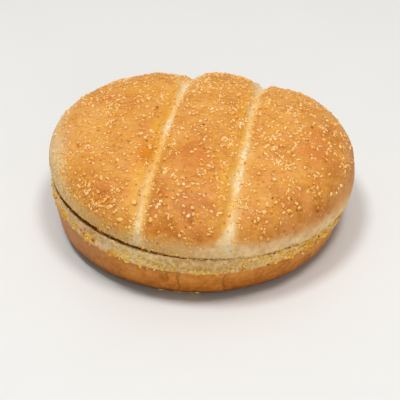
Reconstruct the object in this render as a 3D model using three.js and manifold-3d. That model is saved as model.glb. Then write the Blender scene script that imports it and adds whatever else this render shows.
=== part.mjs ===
import * as THREE from "three";
import { mergeVertices } from "three/addons/utils/BufferGeometryUtils.js";
import Module from "manifold-3d";

const wasm = await Module();
wasm.setup();

// A round sandwich bun, baked in one piece and sliced level into a top half and a heel.
// Two score lines run from front to back over the top and leave three soft lobes.
// Coarse meal sticks to the crust of the top and to the rim of the heel.
// Millimetres, +Z up. The origin is the middle of the foot, +Y runs along the score lines to the back.

// Top half: a dome that is steep at the side and flat in the middle, rolled in under its widest ring.
// The ring slopes more than the crown, which tilts back against it.
const topRadius = 59.2;
const topHeight = 45.1;
const widestHeight = 22.6;
const widestSlope = { x: -0.048, y: -0.035 };
const crownTilt = { x: 0.05, y: 0.018 };
const sideFullness = 2.72;
const crownFullness = 2.68;
const rimTuck = 0.87;
const topShift = { x: 0.25, y: 0.65 };
const backSlump = 6.8;
const leftSlump = 0.6;

// Dips where two lobes sink beside the back ends of the score lines
const backDips = [
  { x: -18.5, y: 44, halfX: 9, halfY: 20, depth: 2.2 },
  { x: 11.5, y: 48, halfX: 8, halfY: 18, depth: 1.5 },
];

// The outline of the top half seen from above: shares of the radius by which it leaves a true circle
const outlineOval = 0.0025;
const outlineSkew = -0.0018;
const outlineThreeSided = 0.0125;

// Score lines: a narrow groove between two soft shoulders, deeper at the back and fading out where the
// side gets steep. The lobe on the far right lies lower, so its shoulder is a wide one.
const scoreLines = [-11.6, 18.6];
const scoreHalfWidth = 3.6;
const scoreDepth = 1.7;
const scoreBackGain = 0.45;
const leftShoulders = [9.5, 9.5];
const rightShoulders = [9.5, 17];
const shoulderDrops = [1.4, 1.7];
const scoreFadeRate = 8;
const scoreDepthAtRim = 0.35;

// Broad, shallow lumps of the risen dough
const lumpHeight = 0.3;
const lumpLength = 34;

// The knife cut: its height at the middle, its slopes and the wedge of air that stands open in it
const cutHeight = 20;
const cutSlope = { x: -0.08, y: -0.051 };
const wedgeGap = 1.4;
const wedgeSlope = { x: -0.016, y: 0 };

// Heel: flat foot, rounded pan edge, flaring brown wall up to a lip, pale band from the lip to the cut
const footRadius = 45.9;
const heelRadius = 54.9;
const heelCornerHeight = 5.4;
const lipRadius = 57.7;
const lipHeight = 15.5;
const lipSlope = -0.036;
const lipBackDrop = 1.6;
const lipStep = 0.5;
const cutEdgeRadius = 57.2;
const heelShift = { x: -0.2, y: -0.37 };
const heelBaseShift = { x: -0.35, y: -0.73 };
const heelBaseOval = 0.0104;
const heelBaseSkew = 0.0059;

// Meal grits: the coarsest ones, half sunk in the crust
const topGritCount = 176;
const heelGritCount = 38;
const gritRadius = { least: 0.62, most: 1.0 };
const gritWidth = 0.8;
const gritThickness = 0.62;
const gritLift = 0.12;
const gritClearOfScore = 1.7;
const topGritReach = 0.985;
const goldenAngle = Math.PI * (3 - Math.sqrt(5));

// Fineness of the skins
const edgeShare = 0.9;
const lobeColumns = [10, 6, 9];
const scoreColumns = 4;
const crownRows = 26;
const sideRows = 5;
const tuckRows = 3;
const heelSegments = 72;
const heelCornerRows = 4;
const heelWallRows = 3;
const heelBandRows = 3;

const quarterTurn = Math.PI / 2;
const fullTurn = Math.PI * 2;

// Returns a repeatable source of numbers from 0 to 1.
function seededRandom(seed) {
  let state = seed >>> 0;
  return () => {
    state = (state + 0x6d2b79f5) >>> 0;
    let mixed = Math.imul(state ^ (state >>> 15), state | 1);
    mixed ^= mixed + Math.imul(mixed ^ (mixed >>> 7), mixed | 61);
    return ((mixed ^ (mixed >>> 14)) >>> 0) / 4294967296;
  };
}

function lerp(from, to, share) {
  return from + (to - from) * share;
}

// A soft bump: 1 in the middle, 0 from the half width on.
function softBump(distance, halfWidth) {
  const share = Math.min(Math.abs(distance) / halfWidth, 1);
  return (1 - share * share) ** 2;
}

function topOutline(angle) {
  return (
    1 +
    outlineOval * Math.cos(2 * angle) +
    outlineSkew * Math.sin(2 * angle) +
    outlineThreeSided * Math.sin(3 * angle)
  );
}

// How far the score lines sink the crown at x, y, where share is the part of the way out to the rim.
function scoreSink(x, y, share) {
  const fade = Math.min((1 - share) * scoreFadeRate + scoreDepthAtRim, 1);
  const gain = 1 + scoreBackGain * Math.max(y / topRadius, 0) ** 2;
  const sink = scoreLines.reduce((sum, line, i) => {
    const shoulder = x < line ? leftShoulders[i] : rightShoulders[i];
    const groove = scoreDepth * softBump(x - line, scoreHalfWidth);
    return sum + groove + shoulderDrops[i] * softBump(x - line, shoulder);
  }, 0);
  return sink * fade * gain;
}

function dipDepth(x, y) {
  return backDips.reduce((sum, dip) => {
    const away = Math.hypot((x - dip.x) / dip.halfX, (y - dip.y) / dip.halfY);
    return sum + dip.depth * softBump(away, 1);
  }, 0);
}

function lump(x, y) {
  const turn = fullTurn / lumpLength;
  const waves = Math.sin(x * turn + 0.8 * Math.sin(y * turn * 0.6)) + Math.sin(y * turn * 0.85 + 1.3);
  return (lumpHeight / 2) * waves;
}

// Height of the crown over its widest ring at x, y, before the score lines.
function domeHeight(x, y) {
  const slump = backSlump * Math.max(y / topRadius, 0) ** 2;
  const sag = leftSlump * Math.max(-x / topRadius, 0) ** 2;
  const sunk = slump + sag + dipDepth(x, y);
  return topHeight - widestHeight + crownTilt.x * x + crownTilt.y * y - sunk + lump(x, y);
}

// Height of the crown's widest ring at x, y.
function widestLevel(x, y) {
  return widestHeight + widestSlope.x * x + widestSlope.y * y;
}

// Height of the cut face of the top half at x, y.
function topCutLevel(x, y) {
  return cutHeight + cutSlope.x * x + cutSlope.y * y;
}

// Height of the cut face of the heel at x, y, below the wedge of air.
function heelCutLevel(x, y) {
  return topCutLevel(x, y) - wedgeGap - wedgeSlope.x * x - wedgeSlope.y * y;
}

// A point on the skin of the top half. The slope runs from 0 at the middle of the crown over a quarter
// turn at the widest ring to a half turn at the cut.
function crownPoint(angle, slope) {
  const rise = Math.min(slope, quarterTurn);
  const tuck = Math.max(slope - quarterTurn, 0);
  const share = Math.sin(rise) ** (2 / sideFullness);
  const radius = (topRadius * share - rimTuck * (1 - Math.cos(tuck))) * topOutline(angle);
  const x = radius * Math.cos(angle);
  const y = radius * Math.sin(angle);
  const domeShare = Math.max(Math.cos(rise), 0) ** (2 / crownFullness);
  const dome = domeHeight(x, y) * domeShare;
  const skin = widestLevel(x, y) + dome - scoreSink(x, y, share) * Math.min(domeShare * 3, 1);
  const z = lerp(skin, topCutLevel(x, y), Math.sin(tuck));
  return new THREE.Vector3(x + topShift.x, y + topShift.y, z);
}

// The slope at which the crown has come a given share of the way out to its rim.
function slopeAt(share) {
  return Math.asin(share ** (sideFullness / 2));
}

// Height of the lip at x, y: level along the front and lower towards the back.
function lipLevel(x, y) {
  return lipHeight + lipSlope * x - lipBackDrop * Math.max(y / lipRadius, 0) ** 2;
}

// A point of the heel's skin. The rise runs from 0 at the foot's edge over 1 at the top of the rounded
// corner and 2 at the lip to 3 at the edge of the cut.
function heelPoint(angle, rise) {
  const corner = Math.min(rise, 1) * quarterTurn;
  const wall = THREE.MathUtils.clamp(rise - 1, 0, 1);
  const band = Math.max(rise - 2, 0);
  let radius = footRadius + (heelRadius - footRadius) * Math.sin(corner);
  radius += (lipRadius - heelRadius) * wall;
  radius += (cutEdgeRadius - lipRadius) * band - lipStep * Math.sin(band * Math.PI);
  const baseShare = 1 - wall;
  radius *= 1 + baseShare * (heelBaseOval * Math.cos(2 * angle) + heelBaseSkew * Math.sin(2 * angle));
  const x = radius * Math.cos(angle) + heelShift.x + heelBaseShift.x * baseShare;
  const y = radius * Math.sin(angle) + heelShift.y + heelBaseShift.y * baseShare;
  const cornerLevel = heelCornerHeight * (1 - Math.cos(corner));
  const wallLevel = lerp(cornerLevel, lipLevel(x, y), wall);
  return new THREE.Vector3(x, y, lerp(wallLevel, heelCutLevel(x, y), band));
}

// Turns a geometry into a solid with shared vertices and without the flat triangles at the poles.
function toSolid(geometry) {
  geometry.deleteAttribute("normal");
  geometry.deleteAttribute("uv");
  const merged = mergeVertices(geometry, 1e-4);
  const corners = merged.index.array;
  const kept = [];
  for (let i = 0; i < corners.length; i += 3) {
    const [a, b, c] = [corners[i], corners[i + 1], corners[i + 2]];
    if (a !== b && b !== c && c !== a) {
      kept.push(a, b, c);
    }
  }
  const vertProperties = new Float32Array(merged.attributes.position.array);
  return new wasm.Manifold(new wasm.Mesh({ numProp: 3, vertProperties, triVerts: new Uint32Array(kept) }));
}

function toGeometry(solid) {
  const mesh = solid.getMesh();
  const geometry = new THREE.BufferGeometry();
  geometry.setAttribute("position", new THREE.BufferAttribute(mesh.vertProperties, mesh.numProp));
  geometry.setIndex(new THREE.BufferAttribute(mesh.triVerts, 1));
  geometry.computeVertexNormals();
  return geometry;
}

// The places of the columns, as stops from one side to the other. Each has its column number and its
// distance across the crown, and the five columns of each score line keep to that line.
function columnStops() {
  const half = scoreHalfWidth;
  const reach = topRadius * edgeShare;
  const stops = [{ column: 0, x: -reach }];
  let column = 0;
  scoreLines.forEach((line, i) => {
    column += lobeColumns[i];
    for (let k = 0; k <= scoreColumns; k++) {
      stops.push({ column: column + k, x: line + half * ((2 * k) / scoreColumns - 1) });
    }
    column += scoreColumns;
  });
  column += lobeColumns[scoreLines.length];
  stops.push({ column, x: reach });
  return stops;
}

// The share from -1 to 1 across the square grid at which a column stands in the row v.
function columnShare(column, v, stops) {
  const narrowing = Math.sqrt(1 - (v * v) / 2);
  const last = stops.length - 1;
  const toShare = (i) => {
    const share = stops[i].x / (topRadius * edgeShare);
    return i === 0 || i === last ? share : share / narrowing;
  };
  const right = Math.max(
    stops.findIndex((stop) => stop.column >= column),
    1,
  );
  const span = stops[right].column - stops[right - 1].column;
  return lerp(toShare(right - 1), toShare(right), (column - stops[right - 1].column) / span);
}

// The dome and rolled side of the top half, closed below by the flat cut. A square block's faces are
// drawn out to the round form, so that its rows of squares follow the score lines.
function topSkin() {
  const stops = columnStops();
  const columns = stops.at(-1).column;
  const levels = sideRows + tuckRows;
  const block = new THREE.BoxGeometry(2, 2, 2, columns, crownRows, levels);
  const place = block.attributes.position;
  const edgeSlope = slopeAt(edgeShare);
  for (let i = 0; i < place.count; i++) {
    const v = place.getY(i);
    const column = Math.round(((place.getX(i) + 1) / 2) * columns);
    const level = Math.round(((1 - place.getZ(i)) / 2) * levels);
    const u = columnShare(column, v, stops);
    const discX = u * Math.sqrt(1 - (v * v) / 2);
    const discY = v * Math.sqrt(1 - (u * u) / 2);
    const angle = Math.atan2(discY, discX);
    const out = Math.min(Math.hypot(discX, discY), 1);
    let point;
    if (level === 0) {
      point = crownPoint(angle, slopeAt(out * edgeShare));
    } else if (level <= sideRows) {
      point = crownPoint(angle, lerp(edgeSlope, quarterTurn, level / sideRows));
    } else {
      point = crownPoint(angle, quarterTurn * (1 + (level - sideRows) / tuckRows));
    }
    if (level === levels && out < 0.9999) {
      point = new THREE.Vector3(topShift.x, topShift.y, topCutLevel(0, 0));
    }
    place.setXYZ(i, point.x, point.y, point.z);
  }
  return block;
}

// The heel: a turned profile from the middle of the foot round to the middle of the cut.
function heelSkin() {
  const rises = [];
  for (let k = 0; k <= heelCornerRows; k++) {
    rises.push(k / heelCornerRows);
  }
  for (let k = 1; k <= heelWallRows; k++) {
    rises.push(1 + k / heelWallRows);
  }
  for (let k = 1; k <= heelBandRows; k++) {
    rises.push(2 + k / heelBandRows);
  }
  const rows = rises.length + 2;
  const profile = Array.from({ length: rows }, (_, k) => new THREE.Vector2(1, k));
  const turned = new THREE.LatheGeometry(profile, heelSegments);
  const place = turned.attributes.position;
  for (let i = 0; i < place.count; i++) {
    const row = i % rows;
    const segment = Math.floor(i / rows) % heelSegments;
    const angle = (segment / heelSegments) * fullTurn;
    if (row === 0) {
      place.setXYZ(i, heelShift.x, heelShift.y, 0);
    } else if (row === rows - 1) {
      place.setXYZ(i, heelShift.x, heelShift.y, heelCutLevel(heelShift.x, heelShift.y));
    } else {
      const point = heelPoint(angle, rises[row - 1]);
      place.setXYZ(i, point.x, point.y, point.z);
    }
  }
  return turned;
}

// One grit: an uneven chip lying flat on the skin at the point, half sunk in it.
function gritSolid(point, outward, random) {
  const radius = lerp(gritRadius.least, gritRadius.most, random() ** 2);
  const spin = random() * fullTurn;
  const chip = new THREE.IcosahedronGeometry(radius, 0);
  chip.scale(1, gritWidth, gritThickness);
  chip.rotateZ(spin);
  const turn = new THREE.Quaternion().setFromUnitVectors(new THREE.Vector3(0, 0, 1), outward);
  chip.applyQuaternion(turn);
  const centre = point.clone().addScaledVector(outward, gritLift);
  chip.translate(centre.x, centre.y, centre.z);
  return toSolid(chip);
}

// The direction straight out of a skin, from two short steps along it.
function outwardAt(skin, angle, rise) {
  const step = 0.01;
  const here = skin(angle, rise);
  const around = skin(angle + step, rise).sub(here);
  const along = skin(angle, rise + step).sub(here);
  const outward = around.cross(along).normalize();
  const middle = new THREE.Vector3(0, 0, cutHeight);
  return outward.dot(here.clone().sub(middle)) < 0 ? outward.negate() : outward;
}

// Grits over the crown in an even spiral, each moved a little, and none in the score lines.
function topGrits() {
  const random = seededRandom(41);
  const grits = [];
  for (let k = 0; k < topGritCount; k++) {
    const share = topGritReach * Math.sqrt((k + 0.2 + 0.8 * random()) / topGritCount);
    const angle = k * goldenAngle + (random() - 0.5) * 0.12;
    const slope = slopeAt(share);
    const point = crownPoint(angle, slope);
    const inScore = scoreLines.some((line) => Math.abs(point.x - topShift.x - line) < gritClearOfScore);
    if (!inScore) {
      grits.push(gritSolid(point, outwardAt(crownPoint, angle, slope), random));
    }
  }
  return grits;
}

// Grits along the lip of the heel and on the pale band just above it.
function heelGrits() {
  const random = seededRandom(97);
  const grits = [];
  for (let k = 0; k < heelGritCount; k++) {
    const angle = ((k + 0.7 * random()) / heelGritCount) * fullTurn;
    const rise = 1.94 + 0.32 * random();
    grits.push(gritSolid(heelPoint(angle, rise), outwardAt(heelPoint, angle, rise), random));
  }
  return grits;
}

function fuse(skin, grits) {
  return grits.reduce((body, grit) => body.add(grit), toSolid(skin));
}

function sandwichHalf(name, solid, colour) {
  const material = new THREE.MeshStandardMaterial({ color: colour, roughness: 0.62, metalness: 0 });
  const mesh = new THREE.Mesh(toGeometry(solid), material);
  mesh.name = name;
  return mesh;
}

const bun = new THREE.Group();
bun.add(sandwichHalf("bun_base", fuse(heelSkin(), heelGrits()), 0xc98b4c));
bun.add(sandwichHalf("bun_top", fuse(topSkin(), topGrits()), 0xd99a55));

export default bun;
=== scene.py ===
import math
import bmesh
import bpy
import numpy as np
from mathutils.kdtree import KDTree
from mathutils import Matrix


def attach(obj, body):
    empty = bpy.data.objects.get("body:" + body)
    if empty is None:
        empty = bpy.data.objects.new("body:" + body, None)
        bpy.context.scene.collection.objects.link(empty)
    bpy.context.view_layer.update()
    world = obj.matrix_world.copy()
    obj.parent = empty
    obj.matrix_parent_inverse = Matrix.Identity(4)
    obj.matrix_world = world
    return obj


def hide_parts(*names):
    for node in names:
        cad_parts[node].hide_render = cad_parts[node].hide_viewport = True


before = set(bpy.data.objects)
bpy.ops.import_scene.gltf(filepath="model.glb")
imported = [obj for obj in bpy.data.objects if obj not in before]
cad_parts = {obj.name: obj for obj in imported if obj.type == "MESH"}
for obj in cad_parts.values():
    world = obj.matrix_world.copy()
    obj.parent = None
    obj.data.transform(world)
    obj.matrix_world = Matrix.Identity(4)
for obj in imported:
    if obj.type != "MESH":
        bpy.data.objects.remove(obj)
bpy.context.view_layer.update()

# A round sandwich bun, sliced into a top half and a heel, dusted with coarse meal.
# Shapes are worked out in millimetres and turned into metres where a mesh is made.

millimetre = 0.001
quarterTurn, halfTurn, fullTurn = math.pi / 2, math.pi, math.pi * 2
goldenAngle = math.pi * (3 - math.sqrt(5))
tiny = 1e-6
fullWord = 0xFFFFFFFF


# Small helpers for numbers and noise

def lerp(low, high, share):
    return low + (high - low) * share


def smoothStep(value, low, high):
    share = np.clip((value - low) / (high - low), 0, 1)
    return share * share * (3 - 2 * share)


def softBump(distance, halfWidth=1):
    share = np.minimum(np.abs(distance) / halfWidth, 1)
    return (1 - share * share) ** 2


def alongStops(value, stops, column=1):
    # reads one column of a table of stops, whose first column rises
    table = np.array(stops)
    return np.interp(value, table[:, 0], table[:, column])


def patchBumps(x, y, patches):
    # 1 in the middle of each patch and 0 outside it; a patch starts with x, y and its two half sizes
    return [softBump(np.hypot((x - patch[0]) / patch[2], (y - patch[1]) / patch[3])) for patch in patches]


def patchSum(x, y, patches):
    return sum(patch[4] * bump for patch, bump in zip(patches, patchBumps(x, y, patches)))


def tilted(level, slope, x, y):
    return level + slope[0] * x + slope[1] * y


def pastMiddle(distance, radius):
    # 0 up to the middle and 1 at the rim
    return np.maximum(distance / radius, 0) ** 2


def bearingOf(angle):
    # degrees from -180 at the left over -90 at the front and 0 at the right
    return np.degrees((angle + halfTurn) % fullTurn - halfTurn)


def bearingAt(points):
    return np.degrees(np.arctan2(points[..., 1], points[..., 0]))


def seededRandom(seed):
    # the same repeatable draws as in the part's own source
    state = seed & fullWord

    def draw():
        nonlocal state
        state = (state + 0x6D2B79F5) & fullWord
        mixed = ((state ^ (state >> 15)) * (state | 1)) & fullWord
        mixed ^= (mixed + (((mixed ^ (mixed >> 7)) * (mixed | 61)) & fullWord)) & fullWord
        return ((mixed ^ (mixed >> 14)) & fullWord) / (fullWord + 1)

    return draw


def latticeDraw(cells, seed):
    # one repeatable number from 0 to 1 for each whole-numbered cell
    x, y, z = (cells[..., k].astype(np.int64) for k in range(3))
    mixed = (x * 374761393 + y * 668265263 + z * 1274126177 + seed * 974634777) & fullWord
    mixed = ((mixed ^ (mixed >> 13)) * 1103515245) & fullWord
    mixed = ((mixed ^ (mixed >> 16)) * 668265263) & fullWord
    return ((mixed ^ (mixed >> 15)) & fullWord) / (fullWord + 1)


def softNoise(points, size, seed):
    # smooth noise from -1 to 1 with lumps of the given size
    place = np.asarray(points, float) / size
    cell = np.floor(place)
    part = place - cell
    part = part * part * part * (part * (part * 6 - 15) + 10)
    total = 0
    for corner in np.ndindex(2, 2, 2):
        weight = np.prod(np.where(np.array(corner) == 1, part, 1 - part), axis=-1)
        total = total + weight * latticeDraw(cell + corner, seed)
    return 2 * total - 1


def layeredNoise(points, size, layers, seed):
    shares = [1 / 2 ** k for k in range(layers)]
    total = sum(share * softNoise(points, size * share, seed + k) for k, share in enumerate(shares))
    return total / sum(shares)


def lumps(points, kind, stretch=(1, 1, 1)):
    # noise of one kind, which has a strength, a size in millimetres, a number of layers and a seed
    strength, size, layers, seed = kind
    return strength * layeredNoise(points * stretch, size, layers, seed)


def cellNoise(points, size, seed):
    # distance to the nearest of a set of scattered spots, as a share of the cell size
    place = np.asarray(points, float) / size
    cell = np.floor(place)
    nearest = np.full(place.shape[:-1], 9.0)
    for corner in np.ndindex(3, 3, 3):
        neighbour = cell + np.array(corner) - 1
        spot = np.stack([latticeDraw(neighbour, seed + k) for k in range(3)], -1)
        nearest = np.minimum(nearest, np.linalg.norm(neighbour + spot - place, axis=-1))
    return nearest


# Forms, with the same sizes as the solids that they replace

topShape = {
    "radius": 59.2, "height": 45.1, "widest": 22.6, "shift": (0.25, 0.65),
    "widestSlope": (-0.048, -0.035), "crownTilt": (0.05, 0.018),
    "sideFullness": 2.72, "crownFullness": 2.68, "rimTuck": 0.87, "backSlump": 6.8, "leftSlump": 0.6,
    "oval": 0.0025, "skew": -0.0018, "threeSided": 0.0125, "lumpHeight": 0.3, "lumpLength": 34,
}

scoreShape = {
    "lines": (-11.6, 18.6), "halfWidth": 3.6, "depth": 1.7, "depthAtRim": 0.35, "fadeRate": 8,
    "backGain": 0.45, "leftShoulders": (9.5, 9.5), "rightShoulders": (9.5, 17), "shoulderDrops": (1.4, 1.7),
}

cutShape = {"height": 20, "slope": (-0.08, -0.051), "wedgeGap": 1.4, "wedgeSlope": (-0.016, 0)}

heelShape = {
    "footRadius": 45.9, "radius": 54.9, "cornerHeight": 5.4, "cutEdgeRadius": 57.2,
    "lipRadius": 57.7, "lipHeight": 15.5, "lipSlope": -0.036, "lipBackDrop": 1.6, "lipStep": 0.5,
    "shift": (-0.2, -0.37), "baseShift": (-0.35, -0.73), "baseOval": 0.0104, "baseSkew": 0.0059,
}

# Dips beside the back ends of the score lines: x, y, the two half sizes and the depth
backDips = [(-18.5, 44, 9, 20, 2.2), (11.5, 48, 8, 18, 1.5)]


def topOutline(angle):
    wave = topShape["oval"] * np.cos(2 * angle) + topShape["skew"] * np.sin(2 * angle)
    return 1 + wave + topShape["threeSided"] * np.sin(3 * angle)


def scoreSink(x, y, share):
    s = scoreShape
    sink = 0
    columns = (s[key] for key in ("lines", "leftShoulders", "rightShoulders", "shoulderDrops"))
    for line, left, right, drop in zip(*columns):
        sink = sink + s["depth"] * softBump(x - line, s["halfWidth"])
        sink = sink + drop * softBump(x - line, np.where(x < line, left, right))
    fade = np.minimum((1 - share) * s["fadeRate"] + s["depthAtRim"], 1)
    return sink * fade * (1 + s["backGain"] * pastMiddle(y, topShape["radius"]))


def doughLump(x, y):
    turn = fullTurn / topShape["lumpLength"]
    waves = np.sin(x * turn + 0.8 * np.sin(y * turn * 0.6)) + np.sin(y * turn * 0.85 + 1.3)
    return topShape["lumpHeight"] / 2 * waves


def topCutLevel(x, y):
    return tilted(cutShape["height"], cutShape["slope"], x, y)


def heelCutLevel(x, y):
    return topCutLevel(x, y) - tilted(cutShape["wedgeGap"], cutShape["wedgeSlope"], x, y)


def lipLevel(x, y):
    h = heelShape
    return h["lipHeight"] + h["lipSlope"] * x - h["lipBackDrop"] * pastMiddle(y, h["lipRadius"])


def slopeAt(share):
    return np.arcsin(share ** (topShape["sideFullness"] / 2))


def crownSkin(angle, slope):
    # slope: 0 at the middle of the crown, a quarter turn at the widest ring, a half turn at the cut,
    # and one more over the cut face to its middle
    t = topShape
    angle, slope = np.broadcast_arrays(np.asarray(angle, float), np.asarray(slope, float))
    rise = np.minimum(slope, quarterTurn)
    tuck = np.clip(slope - quarterTurn, 0, quarterTurn)
    share = np.sin(rise) ** (2 / t["sideFullness"])
    radius = t["radius"] * share - t["rimTuck"] * (1 - np.cos(tuck))
    radius = radius * topOutline(angle) * (1 - np.clip(slope - halfTurn, 0, 1))
    x, y = radius * np.cos(angle), radius * np.sin(angle)
    slump = t["backSlump"] * pastMiddle(y, t["radius"])
    sag = t["leftSlump"] * pastMiddle(-x, t["radius"])
    dome = t["height"] - t["widest"] - slump - sag - patchSum(x, y, backDips) + doughLump(x, y)
    dome = tilted(dome, t["crownTilt"], x, y)
    domeShare = np.maximum(np.cos(rise), 0) ** (2 / t["crownFullness"])
    skin = tilted(t["widest"], t["widestSlope"], x, y) + dome * domeShare
    skin = skin - scoreSink(x, y, share) * np.minimum(domeShare * 3, 1)
    z = lerp(skin, topCutLevel(x, y), np.sin(tuck))
    return np.stack([x + t["shift"][0], y + t["shift"][1], z], -1)


def heelSkin(angle, rise):
    # rise: -1 at the middle of the foot, 0 at its edge, 1 over the rounded corner, 2 at the lip,
    # 3 at the edge of the cut and 4 at the middle of the cut face
    h = heelShape
    angle, rise = np.broadcast_arrays(np.asarray(angle, float), np.asarray(rise, float))
    corner = np.clip(rise, 0, 1) * quarterTurn
    wall, band = np.clip(rise - 1, 0, 1), np.clip(rise - 2, 0, 1)
    radius = h["footRadius"] + (h["radius"] - h["footRadius"]) * np.sin(corner)
    radius = radius + (h["lipRadius"] - h["radius"]) * wall + (h["cutEdgeRadius"] - h["lipRadius"]) * band
    radius = radius - h["lipStep"] * np.sin(band * halfTurn)
    oval = h["baseOval"] * np.cos(2 * angle) + h["baseSkew"] * np.sin(2 * angle)
    radius = radius * (1 + (1 - wall) * oval)
    radius = radius * (1 + np.clip(rise, -1, 0)) * (1 - np.clip(rise - 3, 0, 1))
    x = radius * np.cos(angle) + h["shift"][0] + h["baseShift"][0] * (1 - wall)
    y = radius * np.sin(angle) + h["shift"][1] + h["baseShift"][1] * (1 - wall)
    wallLevel = lerp(h["cornerHeight"] * (1 - np.cos(corner)), lipLevel(x, y), wall)
    return np.stack([x, y, lerp(wallLevel, heelCutLevel(x, y), band)], -1)


def outwardFrom(skin, angle, row, middle):
    # the direction straight out of a skin, from short steps along it
    step = 0.004
    here = skin(angle, row)
    around = skin(angle + step, row) - skin(angle - step, row)
    along = skin(angle, row + step) - skin(angle, row - step)
    outward = np.cross(around, along)
    outward /= np.maximum(np.linalg.norm(outward, axis=-1, keepdims=True), 1e-12)
    facing = np.sum(outward * (here - np.array(middle)), axis=-1, keepdims=True)
    return np.where(facing < 0, -outward, outward)


# Fine relief, in millimetres out of the skin

# The kinds that are lumps have a height, a size, a number of layers and a seed
topRelief = {
    "middle": (0, 0, 30), "dimples": (0.14, 7, 1, 11), "wrinkles": (0.06, 2.2, 3, 21),
    "streaks": (0.075, 1.5, 2, 25), "streakStretch": (0.3, 1, 1),
    "pitDepth": 0.07, "pitSize": 2, "pitSeed": 31, "pitDrifts": (1, 9, 1, 33),
    "scoreGrain": (0.26, 1.5, 2, 41), "scoreStretch": (1, 0.55, 1), "scoreReach": 3, "scoreWander": 0.225,
    "rimTeeth": (1.6, 1, 2, 51), "wornEdge": (0.7, 2.4, 1, 53), "teethStart": 0.8, "wornStart": 0.9,
}

heelRelief = {
    "middle": (0, 0, 10), "swells": (0.22, 13, 1, 111), "skinGrain": (0.05, 1.6, 3, 121),
    "knobHeight": 0.5, "knobSize": 2, "knobSeed": 131, "bandGrain": (0.5, 1.1, 2, 135),
    "lipReach": 0.22, "lipRagged": (0.38, 1.7, 2, 141), "cutTeeth": (0.4, 1.2, 2, 151),
    "footDents": (0.12, 3, 2, 171), "crackDepth": 0.25, "crackHalfWidth": 0.512,
}

crumbRelief = {"depth": 0.55, "size": 2.6, "grain": 0.15, "grainSize": 1.1, "topSeed": 61, "heelSeed": 161}

# Fine cracks down the heel's wall: bearing in degrees, then the heights of its ends in millimetres
wallCracks = [(268.1, 9, 15.5), (271.9, 4, 14.6), (288.5, 2.8, 14.5), (12, 5, 13), (38, 4, 13.5),
              (120, 5, 14.5), (171, 3.5, 11)]

# How far torn crumb swells up into the cut along its edge in millimetres, by bearing
closingStops = [(-180, 0), (-100, 0), (-84, 0.25), (-70, 0.62), (-58, 0.35), (-46, 0.3), (-20, 0.35),
                (10, 0.2), (60, 0), (180, 0)]

# How dark the painted shade along the edge of the cut is, by bearing, and how far the crown's lower edge is
# worn away there
seamStops = [(-180, 0.5), (-152, 0.65), (-140, 0.9), (-96, 0.9), (-84, 0.6), (-70, 0.5), (-58, 0.7),
             (-47, 0.7), (-40, 0.3), (0, 0.2), (60, 0.5), (180, 0.5)]
wornStops = [(-180, 0.3), (-156, 0.4), (-145, 0.9), (-120, 1.7), (-92, 1.6), (-82, 0.7), (-70, 0.4),
             (-58, 0.6), (-47, 0.6), (-30, 0.3), (180, 0.3)]

# The pale core of each score line: y, its shift to the right, its half width and its strength
scoreCore = [
    [(-56, -0.8, 2.6, 0.3), (-40, -0.8, 1.9, 0.42), (-28, -0.2, 1.2, 0.26), (-20, 0.5, 1.1, 0.22),
     (-14, 0.4, 1.4, 0.4), (-7, 0.4, 1.6, 0.8), (0, 0.3, 1.5, 0.55), (16, 0.3, 1.9, 0.62),
     (26, 0.1, 2.4, 0.65), (32, 0.4, 4, 0.75), (40, 2.6, 4, 1), (52, 2.6, 2.2, 0.55)],
    [(-56, 0.3, 3, 0.58), (-44, 1.1, 1.7, 0.45), (-36, 0.7, 2.2, 0.62), (-20, 1, 1.8, 0.67),
     (-12, 0.5, 1.6, 0.75), (-2, -0.4, 1.3, 0.52), (8, -0.5, 1.5, 0.52), (18, 0.2, 2, 0.55),
     (26, -0.6, 1.6, 0.56), (36, -0.8, 2.2, 0.8), (40, -1.2, 2.6, 0.95), (52, -1.2, 2, 0.55)],
]
coreColumns = {"shift": 1, "halfWidth": 2, "strength": 3}


def alongScore(y, key, k):
    return alongStops(y, scoreCore[k], coreColumns[key])


def scoreDistances(points):
    # how far each point is from each score line, with the line's own slight wander
    x, y = points[..., 0] - topShape["shift"][0], points[..., 1]
    distances = []
    for k, line in enumerate(scoreShape["lines"]):
        wander = np.sin(y / 8.5 + 2.1 * k) + 0.6 * np.sin(y / 3.9 + 1.7 + k)
        distances.append(np.abs(x - line - topRelief["scoreWander"] * wander - alongScore(y, "shift", k)))
    return distances


def crumbHeight(points, seed):
    bubbles = smoothStep(0.62 - cellNoise(points, crumbRelief["size"], seed), 0, 0.5)
    grain = 1 + layeredNoise(points, crumbRelief["grainSize"], 2, seed + 4)
    return -crumbRelief["depth"] * bubbles - crumbRelief["grain"] * grain


def crownReliefAt(points, slope):
    r = topRelief
    height = lumps(points, r["dimples"]) + lumps(points, r["wrinkles"])
    height = height + lumps(points, r["streaks"], r["streakStretch"])
    pits = smoothStep(0.42 - cellNoise(points, r["pitSize"], r["pitSeed"]), 0, 0.3)
    height = height - r["pitDepth"] * pits * smoothStep(lumps(points, r["pitDrifts"]), -0.2, 0.6)
    inScore = sum(softBump(distance, r["scoreReach"]) for distance in scoreDistances(points))
    height = height + inScore * lumps(points, r["scoreGrain"], r["scoreStretch"])
    teeth = smoothStep(slope, r["teethStart"] * halfTurn, halfTurn) * lumps(points, r["rimTeeth"])
    worn = alongStops(bearingAt(points), wornStops) * (1 + lumps(points, r["wornEdge"]))
    edge = smoothStep(slope, r["wornStart"] * halfTurn, halfTurn)
    height = height + (teeth - worn * edge) * (slope <= halfTurn + 0.02)
    crumb = crumbHeight(points, crumbRelief["topSeed"]) * smoothStep(slope, halfTurn, halfTurn + 0.03)
    return np.where(slope > halfTurn + tiny, crumb, height)


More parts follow.
